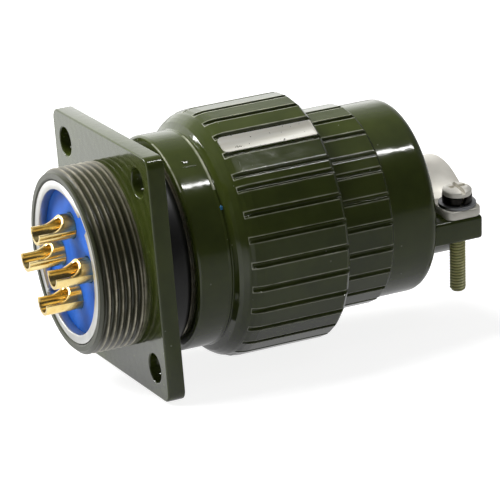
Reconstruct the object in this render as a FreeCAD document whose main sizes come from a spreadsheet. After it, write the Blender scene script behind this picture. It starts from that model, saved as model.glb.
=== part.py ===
import FreeCAD, Part
import Sketcher
import math
import os
import re

# Circular power connector, mated: a square-flange receptacle and a cable plug.
# Millimetres. X runs along the connector's axis from the solder cups to the cable clamp, Z is up,
# and the origin is on the axis in the flange's solder-side face.

os.makedirs("parts", exist_ok=True)
doc = FreeCAD.newDocument("Connector")
sheet = doc.addObject("Spreadsheet::Sheet", "Sizes")

# Driving dimensions, one cell each.
SIZES = {
    # Receptacle shell
    "flange_margin": 4.35,
    "flange_thickness": 2.6,
    "flange_corner_radius": 1.6,
    "hole_margin": 4.25,
    "hole_radius": 2.1,
    "rear_wall": 1.5,
    "rear_thread_length": 6.8,
    "thread_chamfer": 0.6,
    "barrel_wall": 2.1,
    "barrel_length": 13.4,
    "neck_depth": 0.9,
    "neck_length": 3.6,
    "seat_depth": 2.0,
    "web_thickness": 1.6,
    # Receptacle insert and its ring nut
    "boss_radius": 10.1,
    "insert_step": 1.7,
    "insert_clearance": 0.1,
    "boss_setback": 2.0,
    "insert_split": 1.0,
    "ring_thickness": 1.35,
    "ring_recess": 0.1,
    "ring_width": 1.3,
    "ring_slot_width": 2.7,
    "ring_slot_wall": 0.4,
    "ring_slot_angle": 137.0,
    # Contacts
    "contact_circle_radius": 5.2,
    "cup_radius": 1.85,
    "cup_bore_radius": 1.4,
    "cup_bore_depth": 5.6,
    "cup_reach": 5.45,
    "scoop_length": 3.9,
    "scoop_level": 1.9,
    "scoop_floor": 0.12,
    "contact_turn": 9.0,
    "collar_radius": 2.4,
    "collar_length": 2.2,
    "contact_clearance": 0.1,
    "socket_radius": 2.2,
    "socket_setback": 0.8,
    "socket_bore_depth": 8.6,
    "pin_radius": 1.7,
    "pin_clearance": 0.05,
    "pin_reach": 8.4,
    "pin_nose": 0.8,
    # Seals
    "neck_seal_height": 1.9,
    "neck_seal_length": 3.2,
    "neck_seal_round": 1.2,
    "interface_seal_thickness": 1.3,
    "backshell_seal_thickness": 1.0,
    "seal_clearance": 0.1,
    # Plug shell
    "skirt_room": 0.3,
    "skirt_wall": 1.3,
    "skirt_clearance": 0.1,
    "key_width": 2.4,
    "key_height": 0.8,
    "key_length": 8.0,
    "key_clearance": 0.12,
    "collar_gap": 0.3,
    "plug_collar_height": 1.2,
    "plug_collar_thickness": 1.7,
    "plug_thread_step": 0.3,
    "plug_thread_length": 7.0,
    "plug_wall": 1.3,
    "plug_insert_front_length": 5.2,
    "plug_insert_nose": 1.6,
    "plug_insert_rear_length": 5.0,
    "face_gap": 0.8,
    "plug_ring_thickness": 2.2,
    "snap_groove_depth": 0.5,
    "snap_ring_thickness": 1.0,
    "snap_ring_height": 1.2,
    "snap_ring_opening": 3.0,
    # Coupling nut
    "nut_front_gap": 4.4,
    "nut_length": 22.4,
    "nut_wall": 1.67,
    "nut_skirt_length": 5.2,
    "nut_skirt_round": 0.5,
    "nut_cove_radius": 0.4,
    "grip_rise": 2.4,
    "shoulder_step": 0.95,
    "shoulder_step_length": 0.5,
    "shoulder_length": 3.8,
    "grip_rear_chamfer": 0.6,
    "nut_thread_clearance": 0.08,
    "nut_web_thickness": 1.7,
    "nut_web_clearance": 0.1,
    "nut_play": 0.1,
    "nut_rear_gap": 0.5,
    "grip_groove_count": 31,
    "grip_short_land": 6.6,
    "grip_first_groove": 146.1,
    "grip_groove_width": 0.8,
    "grip_groove_depth": 0.45,
    "pad_width": 3.7,
    "pad_angle": 121.8,
    "pad_recess": 0.17,
    "pad_start": 2.1,
    # Backshell
    "backshell_gap": 1.4,
    "backshell_length": 23.1,
    "backshell_wall": 2.2,
    "fluted_rise": 0.5,
    "fluted_length": 15.2,
    "flute_length": 14.9,
    "flute_count": 24,
    "flute_short_land": 10.0,
    "flute_first": 147.0,
    "flute_width": 0.85,
    "flute_depth": 0.45,
    "backshell_round": 1.0,
    "backshell_step": 0.7,
    "end_wall": 2.2,
    "cable_bore_radius": 7.9,
    # Cable clamp, turned about the connector's axis with the backshell
    "clamp_turn": 7.8,
    "jaw_length": 7.4,
    "jaw_wall": 1.85,
    "screw_inset": 0.55,
    "lug_margin": 2.7,
    "lug_thickness": 3.6,
    "lug_corner_radius": 1.3,
    "saddle_width": 5.6,
    "saddle_thickness": 1.3,
    "saddle_rise": 4.1,
    "saddle_foot_gap": 0.35,
    "saddle_fillet": 0.3,
    "saddle_corner_radius": 1.3,
    "screw_radius": 1.2,
    "screw_clearance": 0.2,
    "screw_thread_clearance": 0.05,
    "screw_length": 15.2,
    "screw_head_radius": 2.3,
    "screw_head_height": 1.15,
    "screw_head_round": 0.4,
    "screw_slot_width": 0.6,
    "screw_slot_depth": 0.7,
    "screw_tip_chamfer": 0.3,
    "flat_washer_radius": 2.75,
    "flat_washer_thickness": 0.5,
    "spring_washer_radius": 2.2,
    "spring_washer_thickness": 1.2,
    "spring_washer_split": 0.5,
    # How far each cut starts or ends clear of the solid
    "cut_over": 1.0,
}
for row, (alias, size) in enumerate(SIZES.items(), start=1):
    sheet.set("A%d" % row, alias)
    sheet.set("B%d" % row, str(size))
    sheet.setAlias("B%d" % row, alias)
doc.recompute()

# Radii, widths and places along the axis, each worked out from the driving dimensions.
PLACES = {
    "insert_radius": "boss_radius + insert_step",
    "rear_thread_radius": "insert_radius + insert_clearance + rear_wall",
    "flange_side": "2 * (rear_thread_radius + flange_margin)",
    "hole_spacing": "flange_side - 2 * hole_margin",
    "skirt_bore_radius": "boss_radius + skirt_room",
    "skirt_radius": "skirt_bore_radius + skirt_wall",
    "front_thread_radius": "skirt_radius + skirt_clearance + barrel_wall",
    "neck_radius": "front_thread_radius - neck_depth",
    "neck_seal_radius": "neck_radius + neck_seal_height",
    "ring_bore_radius": "insert_radius - ring_width",
    "plug_thread_radius": "skirt_radius + plug_thread_step",
    "plug_bore_radius": "plug_thread_radius - plug_wall",
    "plug_collar_radius": "plug_thread_radius + plug_collar_height",
    "snap_ring_radius": "plug_thread_radius + snap_ring_height",
    "plug_ring_bore_radius": "plug_bore_radius - ring_width",
    "backshell_radius": "plug_thread_radius + backshell_wall",
    "fluted_radius": "backshell_radius + fluted_rise",
    "wire_cavity_radius": "plug_thread_radius - backshell_step",
    "nut_rear_bore_radius": "fluted_radius + nut_rear_gap",
    "nut_skirt_radius": "front_thread_radius + nut_thread_clearance + nut_wall",
    "grip_radius": "nut_skirt_radius + grip_rise",
    "jaw_radius": "cable_bore_radius + jaw_wall",
    "screw_offset": "jaw_radius + screw_inset",
    "jaw_half_width": "screw_offset + lug_margin",
    "arch_foot": "screw_offset - flat_washer_radius - saddle_foot_gap",
    "arch_rise": "saddle_rise - saddle_thickness",
    "arch_radius": "(arch_foot ^ 2 + arch_rise ^ 2) / (2 * arch_rise)",
    "arch_centre": "saddle_rise - arch_radius",
    "arch_inner_foot": "sqrt((arch_radius - saddle_thickness) ^ 2 - arch_centre ^ 2)",
    "shell_rear": "-rear_thread_length",
    "ring_rear": "-rear_thread_length + ring_recess",
    "insert_rear_face": "-rear_thread_length + ring_recess + ring_thickness",
    "seat": "seat_depth",
    "web_front": "seat_depth + web_thickness",
    "neck_end": "flange_thickness + neck_length",
    "barrel_end": "flange_thickness + barrel_length",
    "boss_end": "flange_thickness + barrel_length - boss_setback",
    "skirt_end": "seat_depth + web_thickness + interface_seal_thickness + seal_clearance",
    "collar_front": "barrel_end + collar_gap",
    "collar_back": "collar_front + plug_collar_thickness",
    "nut_web_front": "collar_back + nut_play",
    "nut_web_back": "nut_web_front + nut_web_thickness",
    "snap_front": "nut_web_back + nut_play",
    "snap_back": "snap_front + snap_ring_thickness",
    "backshell_front": "snap_back + backshell_gap",
    "plug_shell_end": "backshell_front + plug_thread_length",
    "backshell_seat": "plug_shell_end + backshell_seal_thickness",
    "backshell_end": "backshell_front + backshell_length",
    "fluted_end": "backshell_front + fluted_length",
    "nut_front": "flange_thickness + nut_front_gap",
    "nut_step": "nut_front + nut_skirt_length",
    "nut_rear": "nut_front + nut_length",
    "plug_face": "boss_end + face_gap",
    "plug_seat": "plug_face + plug_insert_nose",
    "plug_split": "plug_face + plug_insert_front_length",
    "plug_insert_end": "plug_split + plug_insert_rear_length",
    "plug_ring_end": "plug_insert_end + plug_ring_thickness",
    "socket_end": "boss_end - socket_setback",
    "saddle_front": "backshell_end + jaw_length - saddle_width",
    "screw_place": "backshell_end + jaw_length - saddle_width / 2",
}


def in_sizes(text):
    """Writes places out in driving dimensions, and dimensions as cells of the sheet."""
    while re.search(r"\b(%s)\b" % "|".join(PLACES), text):
        text = re.sub(r"\b(%s)\b" % "|".join(PLACES), lambda m: "(" + PLACES[m.group(1)] + ")", text)
    return re.sub(r"\b(%s)\b" % "|".join(SIZES), lambda m: "Sizes." + m.group(1), text)


def size(text):
    """The present value of an expression in driving dimensions and places."""
    return float(sheet.evalExpression(in_sizes(text)))


def bind(thing, prop, text):
    thing.setExpression(prop, in_sizes(text))


def origin_feature(body, role):
    return next(f for f in body.Origin.OriginFeatures if f.Role == role)


def new_body(name):
    body = doc.addObject("PartDesign::Body", name)
    body.Label = name
    return body


def new_sketch(body, name, plane, offset="0"):
    """A sketch on one of the body's own origin planes, moved along that plane's normal by offset."""
    sketch = body.newObject("Sketcher::SketchObject", name)
    sketch.AttachmentSupport = [(origin_feature(body, plane), "")]
    sketch.MapMode = "FlatFace"
    bind(sketch, "AttachmentOffset.Base.z", offset)
    return sketch


def place_point(sketch, edge, end, across, up):
    """Ties an end of an edge to its distances from the sketch's origin."""
    for kind, text in (("DistanceX", across), ("DistanceY", up)):
        index = sketch.addConstraint(Sketcher.Constraint(kind, -1, 1, edge, end, size(text)))
        bind(sketch, "Constraints[%d]" % index, text)


def outline(sketch, points):
    """A closed outline. Each point is (across, up), or (across, up, radius) for an arc that ends there.

    A positive radius bulges to the left of the way from the last point, and a negative one to the right.
    """
    count = len(points)
    first = sketch.GeometryCount
    for i in range(count):
        start = points[i - 1]
        end = points[i]
        a = FreeCAD.Vector(size(start[0]), size(start[1]), 0)
        b = FreeCAD.Vector(size(end[0]), size(end[1]), 0)
        if len(end) == 2:
            sketch.addGeometry(Part.LineSegment(a, b))
            continue
        radius = size(end[2])
        chord = b - a
        left = FreeCAD.Vector(-chord.y, chord.x, 0).normalize()
        rise = abs(radius) - math.sqrt(radius ** 2 - (chord.Length / 2) ** 2)
        middle = (a + b) / 2 + left * math.copysign(rise, radius)
        sketch.addGeometry(Part.Arc(b, middle, a) if radius > 0 else Part.Arc(a, middle, b))
        index = sketch.addConstraint(Sketcher.Constraint("Radius", first + i, abs(radius)))
        bind(sketch, "Constraints[%d]" % index, "abs(%s)" % end[2])
    for i in range(count):
        this = sketch.Geometry[first + i]
        wanted = FreeCAD.Vector(size(points[i][0]), size(points[i][1]), 0)
        ends = {1: this.StartPoint, 2: this.EndPoint}
        end = min(ends, key=lambda k: ends[k].distanceToPoint(wanted))
        after = first + (i + 1) % count
        next_ends = {1: sketch.Geometry[after].StartPoint, 2: sketch.Geometry[after].EndPoint}
        start = min(next_ends, key=lambda k: next_ends[k].distanceToPoint(wanted))
        sketch.addConstraint(Sketcher.Constraint("Coincident", first + i, end, after, start))
        place_point(sketch, first + i, end, points[i][0], points[i][1])


def rectangle(sketch, left, right, bottom, top):
    outline(sketch, [(left, bottom), (right, bottom), (right, top), (left, top)])


def circle(sketch, across, up, radius):
    place = FreeCAD.Vector(size(across), size(up), 0)
    index = sketch.addGeometry(Part.Circle(place, FreeCAD.Vector(0, 0, 1), size(radius)))
    place_point(sketch, index, 3, across, up)
    number = sketch.addConstraint(Sketcher.Constraint("Radius", index, size(radius)))
    bind(sketch, "Constraints[%d]" % number, radius)


def turn(body, name, points, kind="Revolution", axis="H_Axis"):
    """Turns a profile of (along, radius) points about the axis, or of (radius, up) points about Z."""
    sketch = new_sketch(body, name + "_profile", "XZ_Plane")
    outline(sketch, points)
    feature = body.newObject("PartDesign::" + kind, name)
    feature.Profile = sketch
    feature.ReferenceAxis = (sketch, [axis])
    feature.Angle = 360
    doc.recompute()
    return feature


def extrude(body, name, sketch, length, kind="Pad", towards_normal=True, through=False):
    """Pads or pockets a sketch. A pocket runs against the sketch's normal unless it is reversed."""
    before = body.Shape.Volume if kind == "Pocket" else 0
    feature = body.newObject("PartDesign::" + kind, name)
    feature.Profile = sketch
    if through:
        feature.Type = "ThroughAll"
    else:
        bind(feature, "Length", length)
    feature.Reversed = towards_normal == (kind == "Pocket")
    doc.recompute()
    if kind == "Pocket" and body.Shape.Volume > before - 1e-6:
        raise RuntimeError("%s cuts nothing" % name)
    return feature


def polar(body, name, feature, angle, count):
    pattern = body.newObject("PartDesign::PolarPattern", name)
    pattern.Originals = [feature]
    pattern.Axis = (origin_feature(body, "X_Axis"), [""])
    bind(pattern, "Angle", angle)
    bind(pattern, "Occurrences", count)
    body.Tip = pattern
    doc.recompute()
    return pattern


def edges_where(body, test):
    """Names of the body's edges that pass a test of the edge."""
    return ["Edge%d" % n for n, edge in enumerate(body.Shape.Edges, start=1) if test(edge)]


def round_edges(body, axis, *places):
    """Names of the round edges about an axis of the body, at each place (along it, radius)."""
    wanted = [(size(along), size(radius)) for along, radius in places]

    def test(edge):
        if not isinstance(edge.Curve, Part.Circle):
            return False
        found, reach = getattr(edge.Curve.Center, axis), edge.Curve.Radius
        return any(abs(found - along) < 1e-4 and abs(reach - radius) < 1e-4 for along, radius in wanted)

    return edges_where(body, test)


def straight_edges(body, way, **places):
    """Names of the straight edges along x, y or z that lie as far from the origin as the places say."""
    wanted = {axis: size(text) for axis, text in places.items()}

    def test(edge):
        if not isinstance(edge.Curve, Part.Line) or abs(getattr(edge.Curve.Direction, way)) < 0.999:
            return False
        point = edge.Vertexes[0].Point
        return all(abs(abs(getattr(point, axis)) - far) < 1e-4 for axis, far in wanted.items())

    return edges_where(body, test)


def dress(body, name, kind, edges, amount):
    """Rounds or chamfers the named edges."""
    feature = body.newObject("PartDesign::" + kind, name)
    feature.Base = (body.Tip if body.Tip is not feature else feature.BaseFeature, edges)
    bind(feature, "Radius" if kind == "Fillet" else "Size", amount)
    body.Tip = feature
    doc.recompute()
    return feature


def set_place(body, along="0", across="0", up="0", turn_about_x="0", own_turn="0"):
    """Places a body: turned about its own X, moved, then turned about the connector's axis."""
    about_x = "create(<<rotation>>; create(<<vector>>; 1; 0; 0); (%s) * 1deg)"
    turned, own = about_x % turn_about_x, about_x % own_turn
    moved = "create(<<placement>>; create(<<vector>>; %s; %s; %s); %s)" % (along, across, up, own)
    bind(body, "Placement", "create(<<placement>>; create(<<vector>>; 0; 0; 0); %s) * %s" % (turned, moved))


# Receptacle shell: square flange, rear thread and front barrel in one piece, bored from both ends.
shell = new_body("receptacle_shell")
flange_sketch = new_sketch(shell, "flange_outline", "YZ_Plane")
rectangle(flange_sketch, "-flange_side / 2", "flange_side / 2", "-flange_side / 2", "flange_side / 2")
extrude(shell, "flange", flange_sketch, "flange_thickness")
dress(
    shell,
    "flange_corners",
    "Fillet",
    straight_edges(shell, "x", y="flange_side / 2", z="flange_side / 2"),
    "flange_corner_radius",
)
turn(
    shell,
    "turned_outside",
    [
        ("shell_rear", "0"),
        ("shell_rear", "rear_thread_radius - thread_chamfer"),
        ("shell_rear + thread_chamfer", "rear_thread_radius"),
        ("flange_thickness / 2", "rear_thread_radius"),
        ("flange_thickness / 2", "neck_radius"),
        ("neck_end", "neck_radius"),
        ("neck_end", "front_thread_radius - thread_chamfer"),
        ("neck_end + thread_chamfer", "front_thread_radius"),
        ("barrel_end - thread_chamfer", "front_thread_radius"),
        ("barrel_end", "front_thread_radius - thread_chamfer"),
        ("barrel_end", "0"),
    ],
)
turn(
    shell,
    "bored_inside",
    [
        ("shell_rear - cut_over", "0"),
        ("shell_rear - cut_over", "insert_radius + insert_clearance"),
        ("seat", "insert_radius + insert_clearance"),
        ("seat", "boss_radius + insert_clearance"),
        ("web_front", "boss_radius + insert_clearance"),
        ("web_front", "skirt_radius + skirt_clearance"),
        ("barrel_end + cut_over", "skirt_radius + skirt_clearance"),
        ("barrel_end + cut_over", "0"),
    ],
    "Groove",
)
keyway_sketch = new_sketch(shell, "keyway_outline", "YZ_Plane", "web_front")
rectangle(
    keyway_sketch,
    "-key_width / 2 - key_clearance",
    "key_width / 2 + key_clearance",
    "skirt_radius - cut_over",
    "skirt_radius + key_height + key_clearance",
)
extrude(shell, "keyway", keyway_sketch, "barrel_end - web_front + cut_over", "Pocket")
holes_sketch = new_sketch(shell, "mounting_hole_circles", "YZ_Plane")
for side in ("", "-"):
    for height in ("", "-"):
        circle(holes_sketch, side + "hole_spacing / 2", height + "hole_spacing / 2", "hole_radius")
extrude(shell, "mounting_holes", holes_sketch, "flange_thickness + cut_over", "Pocket")

# Slotted ring nut that holds the receptacle's insert.
ring = new_body("receptacle_ring_nut")
turn(
    ring,
    "ring",
    [
        ("ring_rear", "ring_bore_radius"),
        ("ring_rear", "insert_radius"),
        ("insert_rear_face", "insert_radius"),
        ("insert_rear_face", "ring_bore_radius"),
    ],
)
slot_sketch = new_sketch(ring, "slot_outline", "YZ_Plane", "ring_rear")
rectangle(
    slot_sketch,
    "-insert_radius + ring_slot_wall",
    "insert_radius - ring_slot_wall",
    "-ring_slot_width / 2",
    "ring_slot_width / 2",
)
extrude(ring, "spanner_slots", slot_sketch, "ring_thickness", "Pocket")
set_place(ring, turn_about_x="ring_slot_angle")

# Receptacle insert, moulded in two halves that trap the contacts' collars.
CONTACTS = [("0", "contact_circle_radius"), ("contact_circle_radius", "0"),
            ("0", "-contact_circle_radius"), ("-contact_circle_radius", "0")]


def contact_holes(body, name, start, radius, length=""):
    """Four round holes at the contacts, from start towards the cable, right through if no length is given."""
    sketch = new_sketch(body, name + "_circles", "YZ_Plane", start)
    for across, up in CONTACTS:
        circle(sketch, across, up, radius)
    extrude(body, name, sketch, length, "Pocket", through=not length)


rear_insert = new_body("receptacle_insert_rear")
turn(
    rear_insert,
    "disc",
    [
        ("insert_rear_face", "0"),
        ("insert_rear_face", "insert_radius"),
        ("-insert_split", "insert_radius"),
        ("-insert_split", "0"),
    ],
)
contact_holes(rear_insert, "cup_holes", "insert_rear_face - cut_over", "cup_radius + contact_clearance")
contact_holes(
    rear_insert,
    "collar_pockets",
    "-insert_split - collar_length / 2",
    "collar_radius + contact_clearance",
    "collar_length",
)

front_insert = new_body("receptacle_insert_front")
turn(
    front_insert,
    "flange_and_boss",
    [
        ("-insert_split", "0"),
        ("-insert_split", "insert_radius"),
        ("seat", "insert_radius"),
        ("seat", "boss_radius"),
        ("boss_end", "boss_radius"),
        ("boss_end", "0"),
    ],
)
contact_holes(front_insert, "socket_holes", "-insert_split - cut_over", "socket_radius + contact_clearance")
contact_holes(
    front_insert,
    "collar_pockets_front",
    "-insert_split - cut_over",
    "collar_radius + contact_clearance",
    "cut_over + collar_length / 2",
)


def scoop(body, name, tip, inward):
    """Cuts the upper side of a solder cup open: level from its tip, then rising in an arc to its top."""
    sketch = new_sketch(body, name + "_outline", "XZ_Plane")
    way, back = ("+", "-") if inward > 0 else ("-", "+")
    rise = "(cup_radius - scoop_floor)"
    arc = "((scoop_length - scoop_level) ^ 2 + %s ^ 2) / (2 * %s)" % (rise, rise)
    outline(
        sketch,
        [
            ("%s %s cut_over" % (tip, back), "scoop_floor"),
            ("%s %s scoop_level" % (tip, way), "scoop_floor"),
            ("%s %s scoop_length" % (tip, way), "cup_radius", "%s(%s)" % (back, arc)),
            ("%s %s scoop_length" % (tip, way), "cup_radius + cut_over"),
            ("%s %s cut_over" % (tip, back), "cup_radius + cut_over"),
        ],
    )
    cut = body.newObject("PartDesign::Pocket", name)
    cut.Profile = sketch
    cut.Type = "ThroughAll"
    cut.Midplane = True
    body.Tip = cut
    doc.recompute()


# Socket contacts: solder cup behind the insert, collar between its halves, bored socket in front.
CUP_END = "insert_rear_face - cup_reach"
for number, (across, up) in enumerate(CONTACTS, start=1):
    contact = new_body("socket_contact_%d" % number)
    turn(
        contact,
        "turned_contact_%d" % number,
        [
            (CUP_END, "0"),
            (CUP_END, "cup_radius"),
            ("-insert_split - collar_length / 2", "cup_radius"),
            ("-insert_split - collar_length / 2", "collar_radius"),
            ("-insert_split + collar_length / 2", "collar_radius"),
            ("-insert_split + collar_length / 2", "socket_radius"),
            ("socket_end", "socket_radius"),
            ("socket_end", "0"),
        ],
    )
    turn(
        contact,
        "cup_bore_%d" % number,
        [
            (CUP_END + " - cut_over", "0"),
            (CUP_END + " - cut_over", "cup_bore_radius"),
            (CUP_END + " + cup_bore_depth", "cup_bore_radius"),
            (CUP_END + " + cup_bore_depth + cup_bore_radius / 2", "0"),
        ],
        "Groove",
    )
    turn(
        contact,
        "socket_bore_%d" % number,
        [
            ("socket_end + cut_over", "0"),
            ("socket_end + cut_over", "pin_radius + pin_clearance"),
            ("socket_end - socket_bore_depth", "pin_radius + pin_clearance"),
            ("socket_end - socket_bore_depth", "0"),
        ],
        "Groove",
    )
    scoop(contact, "scoop_%d" % number, CUP_END, 1)
    set_place(contact, across=across, up=up, own_turn="contact_turn")

# Rubber seals: one on the receptacle's neck, one at the bottom of its barrel, one in the backshell.
neck_seal = new_body("neck_seal")
turn(
    neck_seal,
    "neck_ring",
    [
        ("flange_thickness", "neck_radius + seal_clearance / 2"),
        ("flange_thickness", "neck_seal_radius"),
        ("flange_thickness + neck_seal_length", "neck_seal_radius"),
        ("flange_thickness + neck_seal_length", "neck_radius + seal_clearance / 2"),
    ],
)
dress(
    neck_seal,
    "rounded_outside",
    "Fillet",
    round_edges(
        neck_seal,
        "x",
        ("flange_thickness", "neck_seal_radius"),
        ("flange_thickness + neck_seal_length", "neck_seal_radius"),
    ),
    "neck_seal_round",
)
interface_seal = new_body("interface_seal")
turn(
    interface_seal,
    "flat_ring",
    [
        ("web_front", "boss_radius + seal_clearance"),
        ("web_front", "skirt_radius"),
        ("web_front + interface_seal_thickness", "skirt_radius"),
        ("web_front + interface_seal_thickness", "boss_radius + seal_clearance"),
    ],
)
backshell_seal = new_body("backshell_seal")
turn(
    backshell_seal,
    "end_ring",
    [
        ("plug_shell_end", "wire_cavity_radius"),
        ("plug_shell_end", "plug_thread_radius - seal_clearance"),
        ("backshell_seat", "plug_thread_radius - seal_clearance"),
        ("backshell_seat", "wire_cavity_radius"),
    ],
)

# Plug shell: keyed skirt, collar that the nut pulls on, snap ring groove and backshell thread.
plug_shell = new_body("plug_shell")
turn(
    plug_shell,
    "plug_outside",
    [
        ("skirt_end", "0"),
        ("skirt_end", "skirt_radius - thread_chamfer"),
        ("skirt_end + thread_chamfer", "skirt_radius"),
        ("collar_front", "skirt_radius"),
        ("collar_front", "plug_collar_radius"),
        ("collar_back", "plug_collar_radius"),
        ("collar_back", "plug_thread_radius"),
        ("snap_front", "plug_thread_radius"),
        ("snap_front", "plug_thread_radius - snap_groove_depth"),
        ("snap_back", "plug_thread_radius - snap_groove_depth"),
        ("snap_back", "plug_thread_radius"),
        ("plug_shell_end", "plug_thread_radius"),
        ("plug_shell_end", "0"),
    ],
)
turn(
    plug_shell,
    "plug_inside",
    [
        ("skirt_end - cut_over", "0"),
        ("skirt_end - cut_over", "skirt_bore_radius"),
        ("plug_seat", "skirt_bore_radius"),
        ("plug_seat", "plug_bore_radius"),
        ("plug_shell_end + cut_over", "plug_bore_radius"),
        ("plug_shell_end + cut_over", "0"),
    ],
    "Groove",
)
key_sketch = new_sketch(plug_shell, "key_outline", "YZ_Plane", "collar_front - key_length")
rectangle(
    key_sketch,
    "-key_width / 2",
    "key_width / 2",
    "(skirt_radius + skirt_bore_radius) / 2",
    "skirt_radius + key_height",
)
extrude(plug_shell, "key", key_sketch, "key_length - collar_gap")

snap_ring = new_body("nut_snap_ring")
turn(
    snap_ring,
    "snap_ring_blank",
    [
        ("snap_front", "plug_thread_radius - snap_groove_depth"),
        ("snap_front", "snap_ring_radius"),
        ("snap_back", "snap_ring_radius"),
        ("snap_back", "plug_thread_radius - snap_groove_depth"),
    ],
)
opening_sketch = new_sketch(snap_ring, "opening_outline", "YZ_Plane", "snap_front")
ring_foot = "-snap_ring_radius - cut_over"
rectangle(opening_sketch, "-snap_ring_opening / 2", "snap_ring_opening / 2", ring_foot, "0")
extrude(snap_ring, "ring_opening", opening_sketch, "snap_ring_thickness", "Pocket")

# Plug insert in two halves, its ring nut, and the pin contacts.
plug_insert_front = new_body("plug_insert_front")
turn(
    plug_insert_front,
    "plug_front_disc",
    [
        ("plug_face", "0"),
        ("plug_face", "skirt_bore_radius - insert_clearance"),
        ("plug_seat", "skirt_bore_radius - insert_clearance"),
        ("plug_seat", "plug_bore_radius - insert_clearance"),
        ("plug_split", "plug_bore_radius - insert_clearance"),
        ("plug_split", "0"),
    ],
)
contact_holes(plug_insert_front, "pin_holes", "plug_face - cut_over", "pin_radius + contact_clearance")
contact_holes(
    plug_insert_front,
    "pin_collar_pockets_front",
    "plug_split - collar_length / 2",
    "collar_radius + contact_clearance",
    "collar_length",
)
plug_insert_rear = new_body("plug_insert_rear")
turn(
    plug_insert_rear,
    "plug_rear_disc",
    [
        ("plug_split", "0"),
        ("plug_split", "plug_bore_radius - insert_clearance"),
        ("plug_insert_end", "plug_bore_radius - insert_clearance"),
        ("plug_insert_end", "0"),
    ],
)
contact_holes(plug_insert_rear, "pin_cup_holes", "plug_split - cut_over", "cup_radius + contact_clearance")
contact_holes(
    plug_insert_rear,
    "pin_collar_pockets",
    "plug_split - cut_over",
    "collar_radius + contact_clearance",
    "cut_over + collar_length / 2",
)
plug_ring = new_body("plug_ring_nut")
turn(
    plug_ring,
    "plug_ring",
    [
        ("plug_insert_end", "plug_ring_bore_radius"),
        ("plug_insert_end", "plug_bore_radius - insert_clearance"),
        ("plug_ring_end", "plug_bore_radius - insert_clearance"),
        ("plug_ring_end", "plug_ring_bore_radius"),
    ],
)
plug_slot_sketch = new_sketch(plug_ring, "plug_slot_outline", "YZ_Plane", "plug_ring_end")
rectangle(
    plug_slot_sketch,
    "-plug_bore_radius + ring_slot_wall + insert_clearance",
    "plug_bore_radius - ring_slot_wall - insert_clearance",
    "-ring_slot_width / 2",
    "ring_slot_width / 2",
)
slot_through = "plug_ring_thickness"
extrude(plug_ring, "plug_spanner_slots", plug_slot_sketch, slot_through, "Pocket", towards_normal=False)

PIN_CUP_END = "plug_insert_end + cup_reach"
for number, (across, up) in enumerate(CONTACTS, start=1):
    contact = new_body("pin_contact_%d" % number)
    turn(
        contact,
        "turned_pin_%d" % number,
        [
            ("plug_face - pin_reach", "0"),
            ("plug_face - pin_reach", "pin_radius - pin_nose"),
            ("plug_face - pin_reach + pin_nose", "pin_radius"),
            ("plug_split - collar_length / 2", "pin_radius"),
            ("plug_split - collar_length / 2", "collar_radius"),
            ("plug_split + collar_length / 2", "collar_radius"),
            ("plug_split + collar_length / 2", "cup_radius"),
            (PIN_CUP_END, "cup_radius"),
            (PIN_CUP_END, "0"),
        ],
    )
    turn(
        contact,
        "pin_cup_bore_%d" % number,
        [
            (PIN_CUP_END + " + cut_over", "0"),
            (PIN_CUP_END + " + cut_over", "cup_bore_radius"),
            (PIN_CUP_END + " - cup_bore_depth", "cup_bore_radius"),
            (PIN_CUP_END + " - cup_bore_depth - cup_bore_radius / 2", "0"),
        ],
        "Groove",
    )
    scoop(contact, "pin_scoop_%d" % number, PIN_CUP_END, -1)
    set_place(contact, across=across, up=up, own_turn="contact_turn")

# Coupling nut: smooth skirt over the thread, fluted grip, and a web that pulls on the plug's collar.
nut = new_body("coupling_nut")
SHOULDER_RUN = "(shoulder_length - shoulder_step_length)"
SHOULDER_RISE = "(grip_rise - shoulder_step)"
SHOULDER_RADIUS = "(%s ^ 2 + %s ^ 2) / (2 * %s)" % (SHOULDER_RUN, SHOULDER_RISE, SHOULDER_RISE)
turn(
    nut,
    "nut_outside",
    [
        ("nut_front", "0"),
        ("nut_front", "nut_skirt_radius"),
        ("nut_step", "nut_skirt_radius"),
        ("nut_step + shoulder_step_length", "nut_skirt_radius + shoulder_step"),
        ("nut_step + shoulder_length", "grip_radius", SHOULDER_RADIUS),
        ("nut_rear - grip_rear_chamfer", "grip_radius"),
        ("nut_rear", "grip_radius - grip_rear_chamfer"),
        ("nut_rear", "0"),
    ],
)
turn(
    nut,
    "nut_inside",
    [
        ("nut_front - cut_over", "0"),
        ("nut_front - cut_over", "front_thread_radius + nut_thread_clearance"),
        ("nut_web_front", "front_thread_radius + nut_thread_clearance"),
        ("nut_web_front", "plug_thread_radius + nut_web_clearance"),
        ("nut_web_back", "plug_thread_radius + nut_web_clearance"),
        ("nut_web_back", "nut_rear_bore_radius"),
        ("nut_rear + cut_over", "nut_rear_bore_radius"),
        ("nut_rear + cut_over", "0"),
    ],
    "Groove",
)
dress(nut, "skirt_rim", "Fillet", round_edges(nut, "x", ("nut_front", "nut_skirt_radius")), "nut_skirt_round")
cove_edges = round_edges(nut, "x", ("nut_step", "nut_skirt_radius"))
dress(nut, "shoulder_cove", "Fillet", cove_edges, "nut_cove_radius")


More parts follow.
